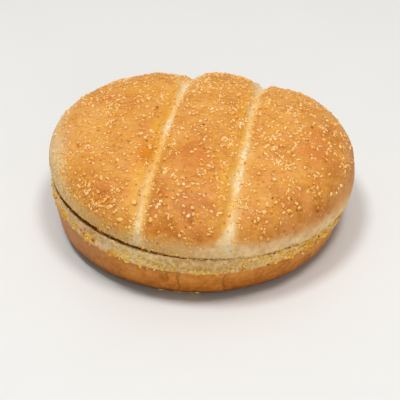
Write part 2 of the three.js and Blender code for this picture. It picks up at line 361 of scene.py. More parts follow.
def crackMask(points):
    # 1 in a crack, 0 a little beside it
    angle, level = np.arctan2(points[..., 1], points[..., 0]), points[..., 2]
    mask = np.zeros(points.shape[:-1])
    for k, (bearing, low, high) in enumerate(wallCracks):
        wiggle = 0.3 * np.sin(level * 0.6 + k) + 0.12 * np.sin(level * 2.1 + 2 * k)
        turn = angle - math.radians(bearing) + halfTurn
        aside = (turn % fullTurn - halfTurn) * heelShape["lipRadius"] + wiggle
        ends = smoothStep(level, low, low + 2) * smoothStep(-level, -high, 2 - high)
        mask = np.maximum(mask, softBump(aside, heelRelief["crackHalfWidth"]) * ends)
    return mask


def heelReliefAt(points, rise):
    r = heelRelief
    onWall = smoothStep(rise, 0, 0.5) * smoothStep(-rise, -2.15, -1.9)
    onBand = smoothStep(rise, 1.9, 2.12) * (rise <= 3 + tiny)
    height = lumps(points, r["swells"]) * smoothStep(rise, 0.1, 1)
    height = height + onWall * (lumps(points, r["skinGrain"]) - r["crackDepth"] * crackMask(points))
    knobs = 0.55 - cellNoise(points, r["knobSize"], r["knobSeed"])
    height = height + onBand * r["knobHeight"] * (knobs + lumps(points, r["bandGrain"]))
    height = height + softBump(rise - 2, r["lipReach"]) * lumps(points, r["lipRagged"])
    height = height + onBand * smoothStep(rise, 2.75, 3) * lumps(points, r["cutTeeth"])
    crumb = crumbHeight(points, crumbRelief["heelSeed"]) * smoothStep(rise, 3, 3.03)
    height = np.where(rise > 3 + tiny, crumb, height)
    dents = -r["footDents"][0] - lumps(points, r["footDents"])  # inward only, so that the foot stays flat
    return np.where(rise < 0, dents * smoothStep(-rise, 0.02, 0.08), height)


def dressedCrown(angle, slope):
    # points with their relief and the direction out of the skin at each
    points = crownSkin(angle, slope)
    outward = outwardFrom(crownSkin, angle, np.maximum(slope, 0.02), topRelief["middle"])
    return points + outward * crownReliefAt(points, slope)[..., None], outward


def dressedHeel(angle, rise):
    points = heelSkin(angle, rise)
    edge = smoothStep(rise, 2.7, 3) * (1 - smoothStep(rise, 3, 3.1))
    points[..., 2] += edge * alongStops(bearingAt(points), closingStops)
    outward = outwardFrom(heelSkin, angle, np.clip(rise, -0.99, 3.99), heelRelief["middle"])
    return points + outward * heelReliefAt(points, rise)[..., None], outward


# Skins of evenly sized triangles, built ring by ring

def rowsByLength(skin, start, end, step):
    # row values from start to end, evenly spaced by length along the front of the skin
    fine = np.linspace(start, end, 900)
    path = skin(np.full(fine.shape, -quarterTurn), fine)
    length = np.concatenate([[0], np.cumsum(np.linalg.norm(np.diff(path, axis=0), axis=1))])
    rows = max(int(round(length[-1] / step)), 1)
    return list(np.interp(np.linspace(0, length[-1], rows + 1), length, fine))


def ringCounts(radii, spacings):
    # points on each ring: 6 times a power of two, at most doubling from ring to ring
    counts = []
    for radius, spacing in zip(radii, spacings):
        wanted = max(fullTurn * radius / (6 * spacing), 1)
        counts.append(1 if radius < tiny else 6 * 2 ** max(round(math.log2(wanted)), 0))
    for order in (range(1, len(counts)), range(len(counts) - 2, -1, -1)):
        for k in order:
            before = counts[k - 1] if order.step > 0 else counts[k + 1]
            if counts[k] > 1 and before > 1:
                counts[k] = max(counts[k], before // 2)
    return counts


def joinRings(upper, lower):
    # triangles between two rings of point numbers, the lower one further along the skin
    if len(upper) == 1 or len(lower) == 1:
        ring, tip = (lower, upper[0]) if len(upper) == 1 else (upper, lower[0])
        faces = np.stack([np.full(len(ring), tip), ring, np.roll(ring, -1)], 1)
        return faces if len(upper) == 1 else faces[:, ::-1]
    if len(upper) == len(lower):
        nextUpper, nextLower = np.roll(upper, -1), np.roll(lower, -1)
        first = np.stack([upper, lower, nextLower], 1)
        return np.concatenate([first, np.stack([upper, nextLower, nextUpper], 1)])
    flip = len(upper) > len(lower)
    few, many = (lower, upper) if flip else (upper, lower)
    nextFew = np.roll(few, -1)
    even, odd, nextEven = many[0::2], many[1::2], np.roll(many[0::2], -1)
    corners = [(few, even, odd), (few, odd, nextFew), (nextFew, odd, nextEven)]
    faces = np.concatenate([np.stack(corner, 1) for corner in corners])
    return faces[:, ::-1] if flip else faces


def ringSkin(skin, spans):
    # spans: start row, end row and spacing; returns the angle and row of every point, and the triangles
    rows, spacings = [], []
    for start, end, spacing in spans:
        more = rowsByLength(skin, start, end, spacing)[1 if rows else 0:]
        rows += more
        spacings += [spacing] * len(more)
    front, back = (skin(np.full(len(rows), angle), np.array(rows)) for angle in (-quarterTurn, quarterTurn))
    counts = ringCounts(np.linalg.norm(front[:, :2] - back[:, :2], axis=1) / 2, spacings)
    angles = [np.arange(count) / count * fullTurn for count in counts]
    ends = np.cumsum(counts)
    rings = [np.arange(end - count, end) for count, end in zip(counts, ends)]
    triangles = np.concatenate([joinRings(a, b) for a, b in zip(rings, rings[1:])])
    return np.concatenate(angles), np.repeat(rows, counts), triangles


def makePiece(name, points, triangles, attributes, materials, second=None, smooth=True):
    # second marks the points whose triangles take the second material
    mesh = bpy.data.meshes.new(name)
    mesh.vertices.add(len(points))
    mesh.vertices.foreach_set("co", (points * millimetre).astype(np.float32).ravel())
    mesh.loops.add(triangles.size)
    mesh.loops.foreach_set("vertex_index", triangles.astype(np.int32).ravel())
    mesh.polygons.add(len(triangles))
    mesh.polygons.foreach_set("loop_start", np.arange(0, triangles.size, 3, dtype=np.int32))
    mesh.polygons.foreach_set("use_smooth", np.full(len(triangles), smooth))
    for key, values in attributes.items():
        layer = mesh.attributes.new(key, "FLOAT", "POINT")
        layer.data.foreach_set("value", np.asarray(values, np.float32))
    mesh.update(calc_edges=True)
    mesh.validate()
    for material in materials:
        mesh.materials.append(material)
    if second is not None:
        index = np.all(second[triangles], axis=1).astype(np.int32)
        mesh.polygons.foreach_set("material_index", index)
    piece = bpy.data.objects.new(name, mesh)
    bpy.context.scene.collection.objects.link(piece)
    print("bun:", name, "has", len(triangles), "triangles")
    return piece


# Shader helpers

def screenColours(**colours):
    # screen values from 0 to 255 to the shader's own linear colours
    def linear(value):
        share = value / 255
        return share / 12.92 if share <= 0.04045 else ((share + 0.055) / 1.055) ** 2.4

    return {name: (*map(linear, colour), 1) for name, colour in colours.items()}


class NodeMaker:
    # makes the nodes of one material or group; where is the place that its textures are read at
    def __init__(self, tree, where=None):
        self.tree, self.where = tree, where

    def add(self, kind, inputs, **settings):
        node = self.tree.nodes.new("ShaderNode" + kind)
        for key, value in settings.items():
            setattr(node, key, value)
        for key, value in inputs.items():
            if isinstance(value, bpy.types.NodeSocket):
                self.tree.links.new(value, node.inputs[key])
            else:
                node.inputs[key].default_value = value
        return node.outputs

    def calculate(self, operation, first, second, clamp=False):
        return self.add("Math", {0: first, 1: second}, operation=operation, use_clamp=clamp)[0]

    def times(self, first, second, clamp=False):
        return self.calculate("MULTIPLY", first, second, clamp)

    def minus(self, first, second):
        return self.calculate("SUBTRACT", first, second)

    def plus(self, *values, clamp=False):
        # the clamp from 0 to 1 comes after the last sum
        total = values[0]
        for k, value in enumerate(values[1:], 2):
            total = self.calculate("ADD", total, value, clamp and k == len(values))
        return total

    def remap(self, value, fromLow, fromHigh, toLow=0, toHigh=1):
        inputs = {"Value": value, 1: fromLow, 2: fromHigh, 3: toLow, 4: toHigh}
        return self.add("MapRange", inputs, interpolation_type="SMOOTHSTEP")[0]

    def noise(self, size, detail=3, where=None):
        # size is the width of a lump in millimetres
        scale = 1 / (size * millimetre)
        inputs = {"Vector": where or self.where, "Scale": scale, "Detail": detail, "Roughness": 0.55}
        return self.add("TexNoise", inputs)["Fac"]

    def blotches(self, size, detail, low, high, least=0, most=1, where=None):
        # noise of one size, spread from the least to the most
        return self.remap(self.noise(size, detail, where), low, high, least, most)

    def stretched(self, scale):
        return self.add("VectorMath", {0: self.where, 1: scale}, operation="MULTIPLY")[0]

    def mask(self, name):
        return self.add("Attribute", {}, attribute_name=name)["Fac"]

    def group(self, group, values):
        return self.add("Group", {"Vector": self.where, **values}, node_tree=group)

    def fleck(self, scale, cover):
        return self.group(mealFleck, {"Fleck Scale": scale, "Cover": cover})["Mask"]

    def ramp(self, factor, colours, stops):
        socket = self.add("ValToRGB", {"Fac": factor})[0]
        ramp = socket.node.color_ramp
        while len(ramp.elements) < len(stops):
            ramp.elements.new(0.5)
        for element, (position, colour) in zip(ramp.elements, stops):
            element.position = position
            element.color = colours[colour]
        return socket

    def mix(self, factor, first, second):
        return self.add("Mix", {0: factor, 6: first, 7: second}, data_type="RGBA")[2]

    def layers(self, colour, colours, covers):
        # lays named colours one over another, each where its cover is above 0
        for name, cover in covers:
            colour = self.mix(cover, colour, colours[name])
        return colour


def newGroup(name, knobs):
    # a node group that reads a Vector and the named values
    group = bpy.data.node_groups.new(name, "ShaderNodeTree")
    group.interface.new_socket(name="Vector", in_out="INPUT", socket_type="NodeSocketVector")
    for label, value in knobs.items():
        socket = group.interface.new_socket(name=label, in_out="INPUT", socket_type="NodeSocketFloat")
        socket.default_value = value
    start = group.nodes.new("NodeGroupInput").outputs
    return NodeMaker(group, start["Vector"]), start


def closeGroup(make, outputs):
    for label in outputs:
        make.tree.interface.new_socket(name=label, in_out="OUTPUT", socket_type="NodeSocketFloat")
    end = make.tree.nodes.new("NodeGroupOutput")
    for label, value in outputs.items():
        make.tree.links.new(value, end.inputs[label])
    return make.tree


def makeOvenMottle():
    # uneven browning: broad patches, a finer mottle and a slight surface relief
    make, knobs = newGroup("ovenMottle", {"Patch Scale": 90, "Mottle Scale": 420})
    broad = {"Vector": make.where, "Scale": knobs["Patch Scale"], "Detail": 3, "Distortion": 0.4}
    small = {"Vector": make.where, "Scale": knobs["Mottle Scale"], "Detail": 4, "Roughness": 0.6}
    mottle = make.add("TexNoise", small)["Fac"]
    return closeGroup(make, {
        "Patches": make.remap(make.add("TexNoise", broad)["Fac"], 0.28, 0.72),
        "Mottle": make.remap(mottle, 0.3, 0.7),
        "Relief": make.plus(make.times(mottle, 0.7), make.noise(0.45, 2)),
    })


def makeMealFleck():
    # fine meal stuck in the surface, as small flecks
    make, knobs = newGroup("mealFleck", {"Fleck Scale": 900, "Cover": 0.3})
    cells = make.add("TexVoronoi", {"Vector": make.where, "Scale": knobs["Fleck Scale"]})
    draw = make.add("SeparateColor", {"Color": cells["Color"]})["Red"]
    chosen = make.calculate("LESS_THAN", draw, knobs["Cover"])
    return closeGroup(make, {"Mask": make.times(chosen, make.remap(cells["Distance"], 0.42, 0.22))})


def makeCrumbPores():
    # open bread crumb: pores between soft walls, as a height and as a shade mask
    make, knobs = newGroup("crumbPores", {"Pore Scale": 500})
    drift = make.add("TexNoise", {"Vector": make.where, "Scale": 700, "Detail": 2})["Color"]
    bend = make.add("VectorMath", {0: drift, 1: (0.0012, 0.0012, 0.0012)}, operation="MULTIPLY")[0]
    moved = make.add("VectorMath", {0: make.where, 1: bend})[0]
    pores = make.add("TexVoronoi", {"Vector": moved, "Scale": knobs["Pore Scale"]})
    hollow = make.remap(pores["Distance"], 0.55, 0.1)
    height = make.minus(make.times(make.noise(0.5), 0.5), hollow)
    return closeGroup(make, {"Height": height, "Hollow": hollow})


def newMaterial(name, roughness, subsurface=0.1, sheen=0.3):
    material = bpy.data.materials.new(name)
    material.use_nodes = True
    shader = material.node_tree.nodes["Principled BSDF"].inputs
    values = {"Roughness": roughness, "IOR": 1.42, "Specular IOR Level": sheen,
              "Subsurface Weight": subsurface, "Subsurface Radius": (1, 0.45, 0.2),
              "Subsurface Scale": 0.0012}
    for key, value in values.items():
        shader[key].default_value = value
    make = NodeMaker(material.node_tree)
    make.where = make.add("TexCoord", {})["Object"]
    return material, make, shader


def joinShader(make, shader, colour, height, depth, rough=None):
    # depth is how many millimetres the bumps stand out
    bump = make.add("Bump", {"Height": height, "Distance": depth * millimetre, "Strength": 1})[0]
    make.tree.links.new(colour, shader["Base Color"])
    make.tree.links.new(bump, shader["Normal"])
    if rough is not None:
        make.tree.links.new(rough, shader["Roughness"])


ovenMottle = makeOvenMottle()
mealFleck = makeMealFleck()
crumbPores = makeCrumbPores()
print("bun: shader groups ready")


# Top half

topLook = {
    "spacing": 0.46, "faceSpacing": 1.2, "roughness": 0.5, "sheen": 0.28, "bump": 0.12, "stainReach": 0.9,
    "bakeLevel": 0.41, "bakeStretch": (0.5, 1, 1), "dustBearing": -122,
    "browning": [(0.05, "straw"), (0.38, "golden"), (0.66, "amber"), (1, "brown")],
    "fanReach": ((3.4, 2, 10), (11.5, 4.2, 13)),
}

topColours = screenColours(
    straw=(229, 168, 94), golden=(217, 150, 66), amber=(200, 126, 48), brown=(183, 103, 30),
    honey=(230, 163, 68), blush=(222, 146, 88), ruddy=(208, 118, 52), gold=(230, 160, 46),
    # the tan colour of the pale side is partly real tan and partly painted shade
    deepOrange=(208, 121, 4), paleSide=(250, 222, 174), paleTan=(208, 164, 106), scoreGold=(229, 167, 52),
    scoreCream=(227, 210, 168), flour=(240, 226, 206), fleck=(250, 206, 124), yellowDust=(226, 176, 76),
    # the last colour here is painted shade along the slit
    pit=(142, 70, 12), grime=(158, 104, 30), seamBrown=(104, 64, 22),
)

# The lumps in the masks of the crust: strength, size in millimetres, layers and seed
topLumps = {
    "coreWidth": (1, 5, 2, 201), "coreStrength": (0.35, 3.2, 2, 203), "coreEdge": (0.45, 1.5, 2, 205),
    "fanEdge": (0.8, 2.2, 2, 207), "paleEdge": (1.3, 7, 3, 211), "bakeBroad": (0.22, 17, 2, 221),
    "bakeFine": (0.13, 5, 2, 225), "ruddy": (0.5, 6, 1, 231), "gold": (0.6, 5, 1, 233),
    "deep": (0.5, 3, 1, 235), "seam": (0.8, 1.8, 2, 241), "drifts": (1, 7, 3, 401),
}

# Height of the pale side above the cut, by bearing
paleStops = [(-180, 11.8), (-172, 11.5), (-162, 12.5), (-147, 10.4), (-132, 5.4), (-112, 4.4), (-100, 5),
             (-86, 6.2), (-70, 6.6), (-56, 5.4), (-45, 5.2), (-25, 5), (10, 4), (60, 5), (90, 5.5),
             (125, 6.5), (150, 9.5), (168, 12), (180, 11.8)]

# How much darker the crust is just above the pale side, partly baked and partly painted shade where the crown
# turns down, and how much of the side is tan instead of cream, partly real tan and partly painted shade
shoulderStops = [(-180, 0), (-150, 0.05), (-136, 0.1), (-120, 0.22), (-108, 0.1), (-99, 0.44), (-78, 0.46),
                 (-62, 0.14), (-30, 0.26), (20, 0.3), (70, 0.1), (180, 0)]
tanStops = [(-180, 0.4), (-160, 0.3), (-145, 0.05), (-136, 0.2), (-122, 0.9), (-108, 0.9), (-92, 0.85),
            (-80, 0.55), (-66, 0.2), (-50, 0.1), (-20, 0.1), (60, 0.35), (140, 0.4), (180, 0.2)]

# Patches of the crust: x, y and the two half sizes, and the least strength of each kind
ruddyPatches = [(3, -28, 13, 12), (-38, 10, 14, 8), (44, -8, 12, 18)]
goldPatches = [(-26, 17, 16, 12), (-14.5, -12, 4.5, 12), (-16, -42, 5, 12), (14.5, -34, 4, 12),
               (14.5, 6, 4, 14), (23, 18, 4, 12), (-14.5, 16, 3.5, 12), (-14.5, -37, 4, 8)]
deepPatches = [(-15.5, -26, 5.6, 11)]
crustPatches = {"ruddy": (ruddyPatches, 0.8), "gold": (goldPatches, 0.8), "deep": (deepPatches, 1.1)}

# Where the crust bakes darker: x, y, the two half sizes and how much
bakePatches = [
    (3, -45, 13, 11, 0.29), (5, -36, 12, 14, 0.14), (2, -17, 12, 11, 0.1), (42, -36, 14, 9, 0.04),
    (24, 34, 20, 12, 0.1), (47, 8, 15, 18, 0.26), (36, 22, 14, 12, 0.12), (-38, -24, 11, 18, -0.2),
    (-28, 20, 12, 9, 0.1), (14, 3, 5, 8, 0.3), (4, 36, 12, 10, 0.16), (50, 0, 9, 14, 0.12),
    (-42, -10, 13, 15, -0.22), (-5, -15, 9, 8, -0.28), (-43, 2, 9, 18, -0.12), (24, 33, 9, 8, -0.16),
    (-14, 32, 9, 12, -0.2), (18, -12, 9, 7, -0.12), (20, 36, 6, 7, -0.14), (-19, -51, 5, 8, -0.3),
    (12.5, -54, 3.5, 7, -0.34), (26, -38, 9, 9, -0.2), (40, -25, 8, 7, -0.18), (56, -17, 6, 12, -0.24),
    (-13.5, -40, 3, 5, 0.2), (9.5, -37, 4, 5, 0.14),
]

# Where more or less meal lies than elsewhere, written the same way
mealPatches = [
    (-1, -30, 9, 13, -0.9), (-3, 11, 6, 8, -0.75), (-3, -5, 6, 6, -0.8), (31, -33, 12, 10, -0.9),
    (-44, 4, 6, 6, -0.6), (-28, 3, 5, 5, -0.4), (-26, -34, 11, 8, -0.4), (44, 20, 5, 5, -0.5),
    (12, -4, 5, 5, -0.6), (12, 20, 4, 6, -0.5), (-44, -20, 6, 6, -0.4), (-36, -7, 10, 10, 1.5),
    (-24, -20, 9, 6, 1.5), (36, 16, 7, 9, 1.6), (46, 5, 8, 7, 0.7), (-25, 28, 12, 10, 0.6),
    (2, 29, 14, 10, 0.7), (12, -52, 6, 5, 0.7), (52, -8, 6, 10, 1), (40, 28, 12, 9, 0.6),
    (-4, 20, 5, 5, 1.4), (2, -47, 11, 8, -0.5), (4, 8, 9, 12, -0.3), (-40, -2, 9, 12, 0.5),
    (36, 2, 5, 6, 0.8), (44, -4, 4, 4, -0.5), (28, -4, 5, 5, -0.5), (36, -14, 6, 6, -0.6),
    (44, -14, 4, 7, 0.7), (28, -28, 6, 6, -0.5), (4, -24, 7, 9, -0.6), (-4, -38, 5, 5, -0.5),
    (0, -54, 10, 5, -0.5), (-12, 31, 6, 9, -0.8), (-20, 10, 6, 6, 0.5), (-12, -38, 4, 6, -0.5),
]


def fanMask(points):
    # the pale wedge at the front end of each score line: how far it reaches left, right and up
    x, y = points[..., 0], points[..., 1]
    above = points[..., 2] - topCutLevel(x, y)
    mask = 0
    for k, (left, right, tip) in enumerate(topLook["fanReach"]):
        aside = x - topShape["shift"][0] - scoreShape["lines"][k] - alongScore(y, "shift", k)
        aside = aside + lumps(points, topLumps["fanEdge"])
        width = np.where(aside < 0, left, right) * (1 - smoothStep(above, 0, tip)) + 0.1
        mask = np.maximum(mask, 1 - smoothStep(np.abs(aside), 0.3 * width, width + 1.6))
    return mask * smoothStep(-y, 30, 45) * (1 - smoothStep(above, 10, 15))


def scoreMasks(points):
    # the pale core of the score lines and the gold beside it, wider on its left
    core, halo = 0, 0
    for k, distance in enumerate(scoreDistances(points)):
        x, y = points[..., 0], points[..., 1]
        side = smoothStep(scoreShape["lines"][k] + topShape["shift"][0] - x, -2, 0.5)
        uneven = lumps(points * (0, 1, 0) + (0, 0, 40 * k), topLumps["coreWidth"])
        width = 0.95 * alongScore(y, "halfWidth", k) * (1 + 0.35 * uneven)
        strength = alongScore(y, "strength", k) * (1 + lumps(points + 60 * k, topLumps["coreStrength"]))
        ragged = distance + lumps(points, topLumps["coreEdge"])
        core = np.maximum(core, strength * np.exp(-(ragged / width) ** 2))
        reach = 0.7 * width + 2 + 1.6 * side + 0.8 * uneven
        halo = np.maximum(halo, lerp(0.75, 0.95, side) * np.exp(-(ragged / reach) ** 2))
    return core, halo


def cutRim(row, edge):
    # painted shade on the rim of a cut face, inside the slit, which starts at the given row
    return (row > edge - tiny) * (1 - smoothStep(row - edge, 0, crumbLook["rimRows"]))


def topMasks(points, angle, slope):
    # where the crust is baked, pale or scored and where shade is painted, as values from 0 to 1 on each point
    look, kinds = topLook, topLumps
    x, y = points[..., 0], points[..., 1]
    above, bearing = points[..., 2] - topCutLevel(x, y), bearingOf(angle)
    core, halo = scoreMasks(points)
    fan = fanMask(points)
    reach = alongStops(bearing, paleStops) + lumps(points, kinds["paleEdge"])
    soft = 2 + 0.25 * reach + 1.6 * softBump(bearing + 35, 45)
    bake = look["bakeLevel"] + lumps(points, kinds["bakeBroad"])
    bake = bake + lumps(points, kinds["bakeFine"], look["bakeStretch"])
    # darker just above the pale side: partly baked, partly painted shade where the crown turns down
    bake = bake + alongStops(bearing, shoulderStops) * softBump(above - reach - 6, 9)
    # painted shade along the crown's lower edge, where the cut opens into a dark slit
    seam = 1 - smoothStep(above + lumps(points, kinds["seam"]), 0.2, 1.3)
    dustAside = np.abs(bearing - look["dustBearing"])
    masks = {
        "bake": bake + patchSum(x, y, bakePatches),
        "pale": np.maximum(1 - smoothStep(above, reach - soft, reach + soft), fan),
        "tan": np.maximum(alongStops(bearing, tanStops) * (1 - fan), 0.4 * fan),
        "seam": seam * alongStops(bearing, seamStops) * (slope > quarterTurn),
        "dust": smoothStep(-dustAside, -42, -26) * softBump(above - reach + 2.5, 8),
        "score": core, "halo": halo, "fan": fan, "rim": cutRim(slope, halfTurn),
    }
    for name, (patches, least) in crustPatches.items():
        masks[name] = np.max(patchBumps(x, y, patches), axis=0) * (least + lumps(points, kinds[name]))
    return {key: np.clip(value, 0, 1) for key, value in masks.items()}


def nearChips(points, places, radii, reach):
    # 1 right beside a chip, 0 at the given distance from its edge
    tree = KDTree(len(places))
    for k, place in enumerate(places):
        tree.insert(place, k)
    tree.balance()
    mask = np.zeros(len(points))
    for k, point in enumerate(points):
        found, which, distance = tree.find(point)
        mask[k] = 1 - min(max((distance - radii[which]) / reach, 0), 1)
    return mask


def makeTopCrust():
    look = topLook
    material, make, shader = newMaterial("topCrust", look["roughness"], sheen=look["sheen"])
    mottle = make.group(ovenMottle, {"Patch Scale": 95, "Mottle Scale": 430})
    fleck, pit, grime = make.fleck(900, 0.24), make.fleck(640, 0.1), make.fleck(760, 0.4)
    pale, score, fan, dust = (make.mask(key) for key in ("pale", "score", "fan", "dust"))
    streaks = make.blotches(1.1, 3, 0.3, 0.7, -0.13, 0.13, make.stretched((0.3, 1, 1)))
    bake = make.plus(make.mask("bake"), make.remap(mottle["Patches"], 0, 1, -0.1, 0.1),
                     make.remap(mottle["Mottle"], 0, 1, -0.05, 0.05), streaks,
                     make.times(make.mask("stain"), 0.16), clamp=True)
    colour = make.layers(make.ramp(bake, topColours, look["browning"]), topColours, [
        ("honey", make.blotches(5, 2, 0.46, 0.64, 0, 0.4)),
        ("blush", make.blotches(6, 2, 0.48, 0.66, 0, 0.36)),
        ("ruddy", make.times(make.mask("ruddy"), 0.6)),
        ("gold", make.times(make.mask("gold"), 0.6)),
        ("scoreGold", make.remap(make.mask("halo"), 0.1, 1, 0, 0.85)),
        ("deepOrange", make.times(make.mask("deep"), 0.95)),
    ])
    # toward the tan colour where the side is tan, partly real tan and partly painted shade
    tone = make.times(make.blotches(3, 4, 0.25, 0.65, 0.2, 0.92), make.remap(make.mask("tan"), 0, 1, 1, 0))
    side = make.mix(tone, topColours["paleTan"], topColours["paleSide"])
    colour = make.mix(make.remap(pale, 0, 1, 0, 0.97), colour, side)
    dusty = make.plus(dust, make.times(pale, 0.25), clamp=True)
    flour = make.times(make.blotches(1.6, 3, 0.42, 0.62, 0, 0.85), make.remap(fan, 0, 1, 1, 0.25))
    flecked = make.plus(make.minus(0.42, make.times(pale, 0.36)), make.times(dust, 0.4))
    colour = make.layers(colour, topColours, [
        ("yellowDust", make.times(make.blotches(1.2, 3, 0.47, 0.62, 0, 0.8), dusty)),
        ("scoreCream", make.times(score, 1.05, True)),
        ("scoreGold", make.times(make.blotches(2.2, 3, 0.47, 0.33, 0, 0.55), score)),
        ("flour", make.times(flour, make.remap(score, 0.25, 0.8))),
        ("fleck", make.times(fleck, flecked)),
        ("pit", make.times(pit, make.remap(pale, 0, 1, 0.42, 0.2))),
        ("grime", make.times(grime, make.remap(dust, 0, 1, 0, 0.5))),
        # painted shade of the slit
        ("seamBrown", make.mask("seam")),
    ])
    rough = make.plus(make.remap(mottle["Mottle"], 0, 1, 0.42, 0.58), make.times(pale, 0.22))
    height = make.minus(make.plus(mottle["Relief"], make.times(fleck, 0.9)), pit)
    joinShader(make, shader, colour, height, look["bump"], rough)
    return material


crumbLook = {"roughness": 0.85, "bump": 0.35, "poreScale": 480, "rimRows": 0.14}
# the rim colour is painted shade on the rim of each cut face, inside the slit
crumbColours = screenColours(light=(244, 224, 184), deep=(208, 168, 110), rimBrown=(150, 92, 36))


def makeCrumb():
    material, make, shader = newMaterial("openCrumb", crumbLook["roughness"])
    pores = make.group(crumbPores, {"Pore Scale": crumbLook["poreScale"]})
    colour = make.layers(crumbColours["light"], crumbColours, [
        ("deep", make.blotches(5, 3, 0.3, 0.7, 0, 0.35)),
        ("deep", make.times(pores["Hollow"], 0.7)),
        # painted shade on the cut face's rim, inside the slit
        ("rimBrown", make.mask("rim")),
    ])
    joinShader(make, shader, colour, pores["Height"], crumbLook["bump"])
    return material


def makeTopHalf(materials, chips):
    fine, coarse = topLook["spacing"], topLook["faceSpacing"]
    spans = [(0, halfTurn, fine), (halfTurn, halfTurn + 1, coarse)]
    angle, slope, triangles = ringSkin(crownSkin, spans)
    points = dressedCrown(angle, slope)[0]
    masks = topMasks(points, angle, slope)
    # darker crust right beside the chips: partly baked darker, partly painted shade of the chips
    masks["stain"] = nearChips(points, *chips, topLook["stainReach"])
    return makePiece("bunTopHalf", points, triangles, masks, materials, slope >= halfTurn - tiny)


# Heel

heelLook = {
    "spacing": 0.46, "faceSpacing": 1.3, "roughness": 0.56, "bump": 0.14, "bakeLevel": 0.22,
    "bakeDepth": 0.55, "contactLevel": 2.6,
    "browning": [(0.05, "wallLight"), (0.5, "wallBrown"), (1, "wallDark")],
}

heelColours = screenColours(
    wallLight=(217, 143, 52), wallBrown=(190, 113, 18), wallDark=(143, 71, 2), wallRose=(200, 136, 80),
    # the next three colours are painted shade: on the heel's lower corner, in the cracks and along the slit
    footDark=(50, 20, 2), crackBrown=(120, 62, 12), seamBrown=(126, 78, 30),
    bandPale=(248, 217, 157), bandTan=(216, 172, 108), bandGrey=(236, 208, 184), bandMeal=(249, 206, 100),
)

# The lumps in the masks of the heel: strength, size in millimetres, layers and seed
heelLumps = {
    "lip": (0.9, 6, 3, 301), "bakeBroad": (0.24, 13, 3, 311), "bakeFine": (0.12, 3.5, 1, 315),
    "meal": (1, 5, 2, 321), "contact": (0.5, 4, 1, 331), "grey": (1, 4, 2, 341), "seam": (0.5, 1.6, 2, 345),
    "drifts": (1, 7, 2, 411),
}

# How much lighter the band is, by bearing: partly the band's own tone, partly painted light on the right
bandToneStops = [(-180, 0.1), (-150, 0.3), (-136, -0.35), (-122, -0.35), (-114, 0.1), (-109, 0.8),
                 (-104, 0.9), (-94, 0.25), (-84, -0.35), (-75, -0.35), (-64, 0.3), (-52, 0.8), (-25, 1),
                 (20, 0.3), (180, 0.1)]

# Where the heel is drawn lighter or darker: bearing, its half width and how much; the lighter stretch on the
# right is painted light
heelBakes = [(-20, 30, -0.25), (-55, 14, 0.14)]


def heelMasks(points, rise):
    # where the heel is baked or banded and where light and shade are painted, as values from -1 to 1 on each
    # point
    look, kinds = heelLook, heelLumps
    x, y, z = points[..., 0], points[..., 1], points[..., 2]
    bearing = bearingAt(points)
    lip = lipLevel(x, y) - 0.4 + lumps(points, kinds["lip"]) + 0.9 * softBump(bearing + 46, 34)
    band = smoothStep(z, lip - 0.6, lip + 0.6)
    bake = look["bakeLevel"] + look["bakeDepth"] * (1 - smoothStep(z, 0.5, 13))
    bake = bake + lumps(points, kinds["bakeBroad"], (1, 1, 0.5)) + lumps(points, kinds["bakeFine"])
    # the lighter stretch on the right is painted light
    for middle, halfWidth, gain in heelBakes:
        bake = bake + gain * softBump(bearing - middle, halfWidth)
    meal = smoothStep(lumps(points, kinds["meal"]), -0.2, 0.3) * softBump(z - lip - 0.5, 1.6)
    meal = np.maximum(meal, 0.8 * smoothStep(bearing, -55, -35) * smoothStep(-bearing, -30, 0))
    # painted shade on the heel's lower corner, where it curves under towards the floor, deepest at the front
    # left
    shaded = 0.55 + 0.45 * softBump(bearing + 110, 75)
    footTop = 3 + 2.7 * shaded + 1.5 * softBump(bearing + 125, 35)
    contact = 1 - smoothStep(z + lumps(points, kinds["contact"]), look["contactLevel"], footTop)
    # painted shade along the heel's top edge, under the slit
    seam = smoothStep(z - heelCutLevel(x, y) + lumps(points, kinds["seam"]), -0.6, 0)
    masks = {
        "band": band, "bake": bake, "meal": meal * band, "rim": cutRim(rise, 3),
        # partly the band's own tone, partly painted light on the right
        "tone": np.where(band > 0.01, alongStops(bearing, bandToneStops), 0),
        # a painted shadow line just under the band's lip
        "underLip": softBump(z - lip + 0.7, 0.5) * (0.2 + 0.8 * softBump(bearing + 96, 14)),
        "seam": seam * alongStops(bearing, seamStops) * (rise <= 3 + tiny),
        "rose": smoothStep(-bearing, 108, 138) * smoothStep(bearing, -185, -160),
        "contact": shaded * contact * (rise > -0.2),
        "grey": softBump(bearing + 120, 28) * smoothStep(lumps(points, kinds["grey"]), -0.2, 0.3),
        "crack": crackMask(points) * (1 - band),
    }
    return {key: np.clip(value, -1, 1) for key, value in masks.items()}


